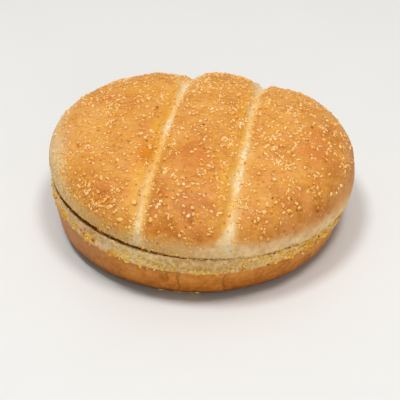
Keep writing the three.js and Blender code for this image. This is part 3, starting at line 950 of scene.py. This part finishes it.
def makeHeelCrust():
    look = heelLook
    material, make, shader = newMaterial("heelCrust", look["roughness"])
    mottle = make.group(ovenMottle, {"Patch Scale": 130, "Mottle Scale": 520})
    fleck, dots = make.fleck(800, 0.26), make.fleck(1100, 0.16)
    pores = make.group(crumbPores, {"Pore Scale": 900})
    band = make.mask("band")
    bake = make.plus(make.mask("bake"), make.remap(mottle["Patches"], 0, 1, -0.1, 0.1),
                     make.remap(mottle["Mottle"], 0, 1, -0.12, 0.12), clamp=True)
    wall = make.layers(make.ramp(bake, heelColours, look["browning"]), heelColours, [
        ("wallRose", make.times(make.mask("rose"), 0.6)),
        ("wallDark", make.times(dots, 0.35)),
        # painted shade in the fine cracks
        ("crackBrown", make.times(make.mask("crack"), 0.75)),
        # painted shade on the heel's lower corner
        ("footDark", make.times(make.mask("contact"), 0.95)),
    ])
    tone = make.plus(make.blotches(2, 4, 0.35, 0.6), make.mask("tone"), clamp=True)
    pale = make.layers(make.mix(tone, heelColours["bandTan"], heelColours["bandPale"]), heelColours, [
        ("bandGrey", make.times(make.mask("grey"), 0.8)),
        ("bandTan", make.times(pores["Hollow"], 0.55)),
        ("bandMeal", make.times(make.mask("meal"), 0.6)),
        ("bandMeal", make.times(fleck, 0.6)),
    ])
    colour = make.layers(make.mix(band, wall, pale), heelColours, [
        # painted shadow under the lip
        ("seamBrown", make.times(make.mask("underLip"), 0.7)),
        # painted shade of the slit along the heel's top edge
        ("seamBrown", make.mask("seam")),
    ])
    rough = make.plus(make.remap(mottle["Mottle"], 0, 1, 0.46, 0.62), make.times(band, 0.22))
    knobs = make.times(make.times(pores["Height"], band), 1.2)
    joinShader(make, shader, colour, make.plus(mottle["Relief"], knobs), look["bump"], rough)
    return material


def makeHeel(materials):
    fine, coarse = heelLook["spacing"], heelLook["faceSpacing"]
    spans = [(-1, 0, coarse), (0, 2, fine), (2, 3, fine), (3, 4, coarse)]
    angle, rise, triangles = ringSkin(heelSkin, spans)
    triangles = triangles[:, ::-1]  # the rows run upwards here, so the faces are turned to point out
    points = dressedHeel(angle, rise)[0]
    points[..., 2] = np.maximum(points[..., 2], 0)
    return makePiece("bunHeel", points, triangles, heelMasks(points, rise), materials, rise >= 3 - tiny)


# Meal on the crust

mealLook = {
    "roughness": 0.5, "bump": 0.04, "topCoarse": 176, "heelCoarse": 38, "coarseRadius": (0.62, 1),
    "clearOfScore": 1.7, "topReach": 0.985, "sideShare": 0.16, "lift": 0.04, "sideLift": -0.16,
    "clumpGain": 1.3, "clumpRadius": (0.24, 0.66), "clumpLift": 0.15, "tintDrifts": (0.16, 9, 2, 421),
    "burntCount": 30, "burntRadius": (0.15, 0.32), "burntShares": (1.2, 0.8, 0.35), "burntLift": 0.03,
    "scatterReach": 0.992, "sideRows": (1.05, 1.8), "lipRise": (1.94, 0.32), "allOver": (1.82, 0.55),
    "clumpRows": (1.85, 2.95),
}

# The tints of the meal on the crust, of the meal on the band and of the burnt bits
mealTints = {
    "mealGrit": [(0, "white"), (0.14, "cream"), (0.42, "straw"), (0.68, "gold"), (0.9, "orange"),
                 (1, "toasted")],
    "bandGrit": [(0, "bandPale"), (0.35, "bandYellow"), (0.65, "bandGold"), (0.88, "orange"), (1, "toasted")],
    "burntBit": [(0.3, "toasted"), (0.9, "burnt")],
}

mealColours = screenColours(
    white=(254, 218, 168), cream=(249, 204, 140), straw=(243, 188, 110), gold=(236, 168, 70),
    orange=(222, 142, 54), toasted=(186, 108, 36), burnt=(158, 82, 24), bandPale=(254, 224, 154),
    bandYellow=(246, 200, 82), bandGold=(234, 168, 52),
)

# Each kind of meal: how many lie on the top and the heel, their radius, their length, width and thickness
# as shares of it, their tint from white to toasted, how fine the chip is and how far it is bent
mealKinds = {
    "coarseMeal": {"length": (0.95, 1.25), "width": (0.62, 0.9), "thickness": (0.5, 0.72),
                   "tint": (0.2, 0.75), "level": 3, "bend": 0},
    "gritMeal": {"top": 1250, "heel": 70, "radius": (0.36, 0.74), "length": (0.9, 1.3), "width": (0.6, 1),
                 "thickness": (0.45, 0.75), "tint": (0.05, 0.8), "level": 2, "bend": 0},
    "flakeMeal": {"top": 620, "heel": 60, "radius": (0.48, 0.86), "length": (1, 1.3), "width": (0.38, 0.62),
                  "thickness": (0.26, 0.42), "tint": (0, 0.56), "level": 2, "bend": 0.3},
    "fineMeal": {"top": 3200, "heel": 700, "radius": (0.17, 0.34), "length": (0.9, 1.4), "width": (0.6, 1),
                 "thickness": (0.45, 0.75), "tint": (0.25, 0.85), "level": 1, "bend": 0},
}

# Meal in the two score lines and on the belt above the cut
looseMeal = {
    "scoreCount": 360, "scoreReach": (-57, 36), "scoreSpread": 0.9, "radius": (0.18, 0.4),
    "tint": (0.05, 0.75), "beltCount": 420, "beltBearing": (-158, -58), "beltSlope": (1.35, 2.9),
    "sideHeight": 25,
}

# Clumps of yellow meal in the score lines and on the belt: bearing, row of the crown, half width and count
yellowClumps = [
    (-67, 0.87, 1.3, 18), (-92, 1.49, 0.9, 8), (-105, 1.47, 0.8, 8), (-106, 1.38, 0.5, 4),
    (-80.5, 1.49, 1, 7), (-69, 1.4, 0.7, 6), (-69, 1.48, 0.8, 8), (-69, 1.56, 0.6, 5), (-71, 0.72, 0.8, 8),
    (-112, 0.75, 0.8, 8), (-103, 1.1, 0.8, 8), (-53, 2.2, 2, 12), (-46, 2.3, 2.4, 16), (-38, 2.4, 2.4, 16),
    (-116, 1.5, 1.6, 10), (-128, 1.6, 2, 12), (-148, 1.5, 2, 9), (-138, 1.42, 1.8, 14),
    (-130, 1.36, 1.8, 14), (-136, 1.58, 1.6, 9), (-122, 1.62, 1.2, 8), (-110, 1.66, 1, 7),
    (-97, 1.62, 0.7, 6), (-88, 1.66, 0.8, 7), (-84, 1.48, 0.6, 5),
]

# Clusters of flakes on the crown: x, y, half width and count
flakeClusters = [
    (12.5, -16.1, 2.2, 9), (31.2, -22.7, 1.8, 7), (34.5, -24.3, 1.8, 8), (-6.6, -35.4, 1.8, 9),
    (14.2, -30.3, 1.5, 6), (23.2, -43, 2.6, 16), (19.6, -43.2, 1.5, 8), (13.5, -55.1, 1.2, 5),
    (38, 2, 3, 9), (-33.5, 2, 2.6, 12), (-33, -8.5, 1.6, 7), (-37, -25, 3.5, 9), (-46, -8, 1.5, 5),
    (33.5, 10, 2.8, 11), (47, -22, 1.6, 7), (38.5, -29, 1.4, 6), (7.5, 3.2, 0.9, 4), (39, 23.5, 1.4, 5),
    (-3.5, -38.8, 1.1, 4),
]

# More or less meal down the crown's side: bearing, its half width, row, its half width and how much
sidePatches = [(-126, 24, 1.35, 0.4, 1.7), (-162, 20, 1.25, 0.4, -0.6)]

# Clumps of meal along the heel's lip: bearing in degrees, rise, spread in degrees and in rise, count, tint
lipClumps = [
    (-162, 2.3, 2.5, 0.2, 8, 0.6), (-150, 2.3, 3, 0.25, 14, 0.6), (-141.5, 2.1, 2, 0.16, 22, 0.65),
    (-133, 2.3, 2.5, 0.2, 12, 0.4), (-125, 2.15, 2, 0.16, 30, 0.6), (-113, 2.06, 1.6, 0.12, 24, 0.65),
    (-107.5, 2.25, 1.8, 0.22, 40, 0.35), (-98, 2.35, 4, 0.3, 16, 0.4), (-93, 2.1, 2.5, 0.1, 14, 0.4),
    (-82, 2.12, 4, 0.1, 22, 0.25), (-64, 2.7, 3, 0.25, 14, 0.35), (-56, 2.7, 3, 0.3, 18, 0.35),
    (-47, 2.5, 3.5, 0.3, 28, 0.4), (-38, 2.4, 3, 0.35, 34, 0.5), (-28, 2.4, 4, 0.35, 34, 0.45),
    (-15, 2.3, 4, 0.3, 24, 0.5), (25, 2.3, 4, 0.3, 24, 0.7), (62, 2.4, 4, 0.3, 20, 0.5),
    (105, 2.2, 4, 0.3, 26, 0.7), (150, 2.3, 4, 0.3, 20, 0.8),
]

# Burnt bits: x, y and radius on the crown, then bearing, rise and radius on the heel
crownBits = [(-17.2, 2.2, 0.75), (-16.6, -19.8, 0.5), (-46.4, -25.7, 0.5), (2.4, -8.4, 0.7),
             (20.9, -43, 0.55), (42, 3, 0.55), (32.3, -39.1, 0.5), (38.5, -36.4, 0.5), (40.9, -38, 0.5),
             (42.6, -36.9, 0.4), (47.8, -32.1, 0.6)]
heelBits = [(-55, 2.05, 0.5), (-52.5, 2.9, 0.5), (-41, 2.1, 0.55), (-38.5, 2.25, 0.5), (-30, 2.4, 0.6),
            (-127, 2.5, 0.4), (70, 2.1, 0.6)]


def makeMealMaterial(name):
    least, most = mealLook["roughness"] - 0.1, mealLook["roughness"] + 0.15
    material, make, shader = newMaterial(name, mealLook["roughness"])
    tint = make.plus(make.mask("tint"), make.blotches(0.7, 2, 0.3, 0.7, -0.14, 0.14), clamp=True)
    colour = make.ramp(tint, mealColours, mealTints[name])
    rough = make.blotches(0.9, 2, 0.3, 0.7, least, most)
    joinShader(make, shader, colour, make.noise(0.35, 2), mealLook["bump"], rough)
    return material


def chipForm(level):
    # the corners and triangles of a ball that the chips are made from
    ball = bmesh.new()
    bmesh.ops.create_icosphere(ball, subdivisions=level, radius=1)
    ball.verts.ensure_lookup_table()
    corners = np.array([vertex.co for vertex in ball.verts])
    faces = np.array([[vertex.index for vertex in face.verts] for face in ball.faces])
    ball.free()
    return corners, faces


def unit(vectors):
    return vectors / np.linalg.norm(vectors, axis=1, keepdims=True)


def chipPoints(level, centres, outward, sizes, rng, uneven=0.16, bend=0):
    # places one uneven chip on each centre, lying flat on the skin; sizes are its three half sizes;
    # returns the points, the triangles and the number of the chip that each point belongs to
    corners, faces = chipForm(level)
    count = len(centres)
    body = corners[None] * (1 + uneven * rng.uniform(-1, 1, (count, len(corners), 1)))
    waves = 2.6 * np.einsum("cj,nj->nc", corners, rng.normal(0, 0.8, (count, 3)))
    waves = waves + rng.uniform(0, 6, (count, 1))
    body = body * (1 + 0.16 * np.sin(waves)[..., None]) * sizes[:, None, :]
    body[..., 1] += bend * (corners[None, :, 0] ** 2 - 0.4) * sizes[:, :1]
    spin = rng.uniform(0, fullTurn, count)
    helper = np.where(np.abs(outward[:, 2:3]) > 0.9, [[1, 0, 0]], [[0, 0, 1]])
    side = unit(np.cross(helper, outward))
    other = np.cross(outward, side)
    tilt = rng.normal(0, 0.2, (count, 2))
    up = unit(outward + side * tilt[:, :1] + other * tilt[:, 1:])
    first = side * np.cos(spin)[:, None] + other * np.sin(spin)[:, None]
    first = unit(first - up * np.sum(first * up, axis=1, keepdims=True))
    axes = np.stack([first, np.cross(up, first), up], 1)
    points = np.einsum("nij,njk->nik", body, axes) + centres[:, None, :]
    triangles = faces[None] + (np.arange(count) * len(corners))[:, None, None]
    return points.reshape(-1, 3), triangles.reshape(-1, 3), np.repeat(np.arange(count), len(corners))


def coarseTopSpots():
    # the same spiral, draws and sizes as the grits fused to the solid
    draw = seededRandom(41)
    spots = []
    for k in range(mealLook["topCoarse"]):
        share = mealLook["topReach"] * math.sqrt((k + 0.2 + 0.8 * draw()) / mealLook["topCoarse"])
        angle = k * goldenAngle + (draw() - 0.5) * 0.12
        slope = float(slopeAt(share))
        x = crownSkin(angle, slope)[0] - topShape["shift"][0]
        if all(abs(x - line) >= mealLook["clearOfScore"] for line in scoreShape["lines"]):
            spots.append((angle, slope, lerp(*mealLook["coarseRadius"], draw() ** 2)))
            draw()
    return np.array(spots)


def coarseHeelSpots():
    draw = seededRandom(97)
    start, spread = mealLook["lipRise"]
    spots = []
    for k in range(mealLook["heelCoarse"]):
        angle = (k + 0.7 * draw()) / mealLook["heelCoarse"] * fullTurn
        rise = start + spread * draw()
        spots.append((angle, rise, lerp(*mealLook["coarseRadius"], draw() ** 2)))
        draw()
    return np.array(spots)


def crownSpots(x, y):
    # angle and slope of the crown at x, y
    fromX, fromY = x - topShape["shift"][0], y - topShape["shift"][1]
    angle = np.arctan2(fromY, fromX)
    share = np.hypot(fromX, fromY) / (topShape["radius"] * topOutline(angle))
    return np.stack([angle, slopeAt(np.minimum(share, 0.995))], 1)


def likesCrust(points, angle, slope):
    # how much meal sticks at each point: in drifts, little on the bare patches and the pale front
    masks = topMasks(points, angle, slope)
    bearing = bearingOf(angle)
    drifts = smoothStep(lumps(points, topLumps["drifts"]), -0.4, 0.5)
    dusty = smoothStep(-np.abs(bearing - topLook["dustBearing"]), -45, -25)
    cover = np.maximum(1 + patchSum(points[..., 0], points[..., 1], mealPatches), 0.08)
    like = 0.5 * (0.22 + 0.78 * drifts) * cover * (1 - 0.7 * masks["score"])
    like = like * (1 - 0.5 * smoothStep(slope, 0.9, 1.3) * smoothStep(np.abs(bearing + 115), 35, 60))
    for middle, halfWidth, row, halfRow, gain in sidePatches:
        like = like * (1 + gain * softBump(bearing - middle, halfWidth) * softBump(slope - row, halfRow))
    least = lerp(0.2, 0.5, smoothStep(-bearing, 135, 160))
    return like * lerp(1, lerp(least, 0.85, dusty), masks["pale"]) * (1 - 0.85 * masks["fan"])


def likesBand(points, angle, rise):
    return 0.15 + 0.85 * smoothStep(lumps(points, heelLumps["drifts"]), -0.3, 0.4)


def crownDraw(count, rng):
    # random spots on the crown and down its side
    share = mealLook["scatterReach"] * np.sqrt(rng.uniform(0, 1, count))
    angle = rng.uniform(0, fullTurn, count)
    onSide = rng.uniform(0, 1, count) < mealLook["sideShare"]
    return angle, np.where(onSide, rng.uniform(*mealLook["sideRows"], count), slopeAt(share))


def bandDraw(count, rng):
    # random spots on the heel's band, all over it at the front right and near the lip elsewhere
    angle = rng.uniform(0, fullTurn, count)
    middle, reach = mealLook["allOver"]
    allOver = np.abs(angle - middle * halfTurn) < reach
    return angle, 2 + 0.9 * np.where(allOver, rng.beta(1.1, 1.6, count), rng.beta(0.9, 3.2, count))


def scatter(count, rng, drawSpots, skin, likes):
    # random spots, kept where the meal sticks
    found = []
    while sum(map(len, found)) < count:
        angle, row = drawSpots(6 * count, rng)
        keep = rng.uniform(0, 1, len(angle)) < likes(skin(angle, row), angle, row)
        found.append(np.stack([angle, row], 1)[keep])
    return np.concatenate(found)[:count]


def scatterTop(count, rng):
    return scatter(count, rng, crownDraw, crownSkin, likesCrust)


def clusterSpots(rng):
    spots = []
    for x, y, halfWidth, count in flakeClusters:
        away = halfWidth * np.sqrt(rng.uniform(0, 1, count))
        turn = rng.uniform(0, fullTurn, count)
        spots.append(crownSpots(x + away * np.cos(turn), y + away * np.sin(turn)))
    return np.concatenate(spots)


def clumpSpots(rng):
    # spots of the clumps on the lip and the tint of each
    spots, tints = [], []
    for bearing, rise, spreadAngle, spreadRise, few, tint in lipClumps:
        count = round(few * mealLook["clumpGain"])
        angle = np.radians(bearing + spreadAngle * rng.normal(0, 0.6, count))
        rises = np.clip(rise + spreadRise * rng.normal(0, 0.8, count), *mealLook["clumpRows"])
        spots.append(np.stack([angle, rises], 1))
        tints.append(np.clip(tint - 0.1 + rng.normal(0, 0.2, count), 0.05, 1))
    return np.concatenate(spots), np.concatenate(tints)


def looseSpots(rng):
    # meal caught in the score lines and on the pale belt above the cut
    loose = looseMeal
    y = rng.uniform(*loose["scoreReach"], loose["scoreCount"])
    line = np.array(scoreShape["lines"])[rng.integers(0, 2, len(y))]
    spots = [crownSpots(line + topShape["shift"][0] + rng.normal(0.3, loose["scoreSpread"], len(y)), y)]
    bearing = np.radians(rng.uniform(*loose["beltBearing"], loose["beltCount"]))
    spots.append(np.stack([bearing, rng.uniform(*loose["beltSlope"], len(bearing))], 1))
    for bearing, row, halfWidth, count in yellowClumps:
        away = halfWidth * rng.normal(0, 0.6, (count, 2))
        around, down = away[:, 0] / topShape["radius"], away[:, 1] / loose["sideHeight"]
        spots.append(np.stack([np.radians(bearing) + around, row + down], 1))
    return np.concatenate(spots)


def dressedSpots(top, heel):
    # the places and outward directions of spots on both halves, the top's first
    pairs = zip(dressedCrown(top[:, 0], top[:, 1]), dressedHeel(heel[:, 0], heel[:, 1]))
    return [np.concatenate(pair) for pair in pairs]


def mealTint(kind, places, rng):
    # some drifts are toasted more, the left rim less and the low front more
    tints = lerp(*kind["tint"], rng.beta(1.1, 1.3, len(places))) + lumps(places, mealLook["tintDrifts"])
    left = -places[:, 0]
    tints = tints + 0.07 * smoothStep(left, 8, 20) - 0.3 * smoothStep(left, 45, 54)
    low = smoothStep(-places[:, 2], -36, -30) * smoothStep(-places[:, 1], 14, 26)
    return tints + low * lerp(0.12, 0.28, smoothStep(left, 8, 22))


def layMeal(name, rng):
    # every chip of one kind: place, outward direction, radius, tint and whether it has the band's colours
    kind = mealKinds[name]
    if name == "coarseMeal":
        top, heel = coarseTopSpots(), coarseHeelSpots()
        radii = np.concatenate([top[:, 2], heel[:, 2]])
    else:
        top = scatterTop(kind["top"], rng)
        heel = scatter(kind["heel"], rng, bandDraw, heelSkin, likesBand)
        if name == "flakeMeal":
            top = np.concatenate([top, clusterSpots(rng)])
        radii = rng.uniform(*kind["radius"], len(top) + len(heel))
    places, outward = dressedSpots(top, heel)
    banded = np.arange(len(places)) >= len(top)
    parts = [(places, outward, radii, mealTint(kind, places, rng), banded)]
    if name == "gritMeal":
        spots, tints = clumpSpots(rng)
        places, outward = dressedHeel(spots[:, 0], spots[:, 1])
        places = places + outward * mealLook["clumpLift"]
        radii = rng.uniform(*mealLook["clumpRadius"], len(spots))
        parts.append((places, outward, radii, tints, np.ones(len(spots), bool)))
    if name == "fineMeal":
        spots = looseSpots(rng)
        tints, radii = (rng.uniform(*looseMeal[key], len(spots)) for key in ("tint", "radius"))
        parts.append((*dressedCrown(spots[:, 0], spots[:, 1]), radii, tints, np.ones(len(spots), bool)))
    keys = ("places", "outward", "radii", "tints", "banded")
    laid = {key: np.concatenate(column) for key, column in zip(keys, zip(*parts))}
    laid["tints"] = np.clip(laid["tints"], 0.1, 1)
    return laid


def makeMeal(name, laid, rng, materials):
    kind, radii, outward = mealKinds[name], laid["radii"], laid["outward"]
    shares = [rng.uniform(*kind[key], len(radii)) for key in ("length", "width", "thickness")]
    steep = smoothStep(-outward[:, 2], -0.7, -0.1)
    lift = lerp(mealLook["lift"], mealLook["sideLift"], steep) * np.minimum(radii / 0.5, 1)
    centres, sizes = laid["places"] + outward * lift[:, None], np.stack(shares, 1) * radii[:, None]
    points, triangles, owner = chipPoints(kind["level"], centres, outward, sizes, rng, bend=kind["bend"])
    tint = {"tint": laid["tints"][owner]}
    return makePiece(name, points, triangles, tint, materials, laid["banded"][owner], kind["level"] > 1)


def makeBurntBits(rng, material):
    # burnt bits, each at its own place, and a few more at random
    look, top, heel = mealLook, np.array(crownBits), np.array(heelBits)
    more = scatterTop(look["burntCount"], rng)
    onTop = np.concatenate([crownSpots(top[:, 0], top[:, 1]), more])
    place, outward = dressedSpots(onTop, heel[:, :2] * (math.radians(1), 1))
    radius = np.concatenate([top[:, 2], rng.uniform(*look["burntRadius"], len(more)), heel[:, 2]])
    sizes = np.outer(radius, look["burntShares"])
    points, triangles, owner = chipPoints(2, place + outward * look["burntLift"], outward, sizes, rng)
    tint = {"tint": rng.uniform(0.6, 1, len(place))[owner]}
    return makePiece("burntBits", points, triangles, tint, [material])


# Crumbs along the knife cut

crumbBits = {
    "count": 520, "radius": (0.22, 0.6), "shares": (1.2, 0.9, 0.6), "uneven": 0.3, "sunk": 0.05,
    "tint": (0, 0.75), "crowdedBearing": (-62, 8), "crowdedShare": 0.45, "edgeRise": (2.82, 2.98),
    "edgeSlope": (0.9, 0.97), "footCount": 44, "footBearing": (-96, -79), "footRise": (0.42, 0.75),
    "insideCount": 420, "insideRise": (3.004, 3.03), "insideTint": 0.25,
}


def makeTornCrumbs(rng, material):
    # crumbs that hang on both edges of the cut, a few caught at the foot and many on the heel's cut face
    bits = crumbBits
    half, foot, inside = bits["count"] // 2, bits["footCount"], bits["insideCount"]
    crowded = rng.uniform(0, 1, bits["count"]) < bits["crowdedShare"]
    near = np.radians(rng.uniform(*bits["crowdedBearing"], bits["count"]))
    angle = np.where(crowded, near, rng.uniform(0, fullTurn, bits["count"]))
    footAngle = np.radians(rng.uniform(*bits["footBearing"], foot))
    angle = np.concatenate([angle, footAngle, rng.uniform(0, fullTurn, inside)])
    counts = {"edgeRise": half, "footRise": foot, "insideRise": inside}
    rise = np.concatenate([rng.uniform(*bits[key], count) for key, count in counts.items()])
    slope = rng.uniform(*bits["edgeSlope"], half) * halfTurn
    place, outward = dressedSpots(np.stack([angle[:half], slope], 1), np.stack([angle[half:], rise], 1))
    sizes = np.outer(rng.uniform(*bits["radius"], len(place)), bits["shares"])
    centres = place - outward * bits["sunk"]
    points, triangles, owner = chipPoints(1, centres, outward, sizes, rng, bits["uneven"])
    tint = rng.uniform(*bits["tint"], len(place))
    tint[-inside:] += bits["insideTint"]
    return makePiece("tornCrumbs", points, triangles, {"tint": tint[owner]}, [material], smooth=False)


# Floor, light and camera

stageLook = {
    "floorSize": 3, "floorRoughness": 0.34, "floorMottle": 0.985, "floorPatch": 60,
    "worldColour": (1, 0.88, 0.73, 1), "worldStrength": 0.295, "lightAim": (0, 0, 0.02),
}

floorColours = screenColours(pale=(230, 229, 228))

# Each light: its power, place in metres, size and colour
studioLights = {
    "leftLight": (6.35, (-0.28, -0.14, 1.2), 0.28, (0.93, 0.975, 1)),
    "rightLight": (5.3, (0.26, -0.14, 1.2), 0.28, (0.93, 0.975, 1)),
    "topLight": (2.6, (-0.15, 0.45, 1), 1.6, (0.93, 0.975, 1)),
    "fillLight": (2.8, (0.52, -0.98, 0.27), 0.9, (1, 0.96, 0.9)),
}

# The camera as worked out from the bun's outlines, with its distance and aim in millimetres
viewFit = {
    "bearing": 10.009, "elevation": 36.816, "distance": 424.33, "aim": (-0.18, -0.37, 4.2),
    "focalPixels": 1059.86, "framePixels": 400, "sensor": 36,
}


def makeFloor():
    mesh = bpy.data.meshes.new("floor")
    half = stageLook["floorSize"] / 2
    corners = [(-half, -half, 0), (half, -half, 0), (half, half, 0), (-half, half, 0)]
    mesh.from_pydata(corners, [], [(0, 1, 2, 3)])
    floor = bpy.data.objects.new("floor", mesh)
    bpy.context.scene.collection.objects.link(floor)
    material, make, shader = newMaterial("paleFloor", stageLook["floorRoughness"], subsurface=0)
    light = floorColours["pale"]
    dark = (*(channel * stageLook["floorMottle"] for channel in light[:3]), 1)
    shade = make.blotches(stageLook["floorPatch"], 2, 0.2, 0.8)
    make.tree.links.new(make.mix(shade, dark, light), shader["Base Color"])
    mesh.materials.append(material)


def aimAt(piece, target):
    direction = np.array(target) - np.array(piece.location)
    flat = math.hypot(direction[0], direction[1])
    piece.rotation_euler = (math.atan2(flat, -direction[2]), 0, math.atan2(-direction[0], direction[1]))


def makeLights():
    for name, (power, place, size, colour) in studioLights.items():
        lamp = bpy.data.lights.new(name, "AREA")
        lamp.shape = "DISK"
        lamp.energy = power
        lamp.size = size
        lamp.color = colour
        light = bpy.data.objects.new(name, lamp)
        light.location = place
        bpy.context.scene.collection.objects.link(light)
        aimAt(light, stageLook["lightAim"])
    world = bpy.data.worlds.new("studio")
    world.use_nodes = True
    background = world.node_tree.nodes["Background"]
    background.inputs["Color"].default_value = stageLook["worldColour"]
    background.inputs["Strength"].default_value = stageLook["worldStrength"]
    bpy.context.scene.world = world
    bpy.context.scene.view_settings.view_transform = "Standard"


def makeCamera():
    fit = viewFit
    bearing, elevation = math.radians(fit["bearing"]), math.radians(fit["elevation"])
    flat = math.cos(elevation)
    back = np.array([math.sin(bearing) * flat, -math.cos(bearing) * flat, math.sin(elevation)])
    aim = np.array(fit["aim"]) * millimetre
    lens = bpy.data.cameras.new("photoView")
    lens.sensor_width = fit["sensor"]
    lens.lens = fit["focalPixels"] / fit["framePixels"] * fit["sensor"]
    lens.clip_start = 0.01
    camera = bpy.data.objects.new("photoView", lens)
    camera.location = aim + back * fit["distance"] * millimetre
    bpy.context.scene.collection.objects.link(camera)
    aimAt(camera, aim)
    bpy.context.scene.camera = camera


makeCamera()
makeLights()
makeFloor()
print("bun: camera, light and floor ready")

rng = np.random.default_rng(20)
topCrust, heelCrust, openCrumb = makeTopCrust(), makeHeelCrust(), makeCrumb()
mealSkin, bandSkin, burntSkin = (makeMealMaterial(name) for name in mealTints)
laidMeal = {name: layMeal(name, rng) for name in mealKinds}
larger = [laidMeal[name] for name in ("coarseMeal", "gritMeal", "flakeMeal")]
chips = [np.concatenate([laid[key] for laid in larger]) for key in ("places", "radii")]
print("bun: meal laid")

topHalf = makeTopHalf([topCrust, openCrumb], chips)
heel = makeHeel([heelCrust, openCrumb])
mealPieces = [makeMeal(name, laid, rng, [mealSkin, bandSkin]) for name, laid in laidMeal.items()]
mealPieces.append(makeBurntBits(rng, burntSkin))
crumbs = makeTornCrumbs(rng, bandSkin)
print("bun: meal and crumbs ready")

for piece, slot in [(topHalf, "top_crust"), (heel, "heel_crust"), (crumbs, "heel_crust")]:
    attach(piece, "root")
for piece in mealPieces:
    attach(piece, "root")
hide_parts("bun_top")
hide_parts("bun_base")
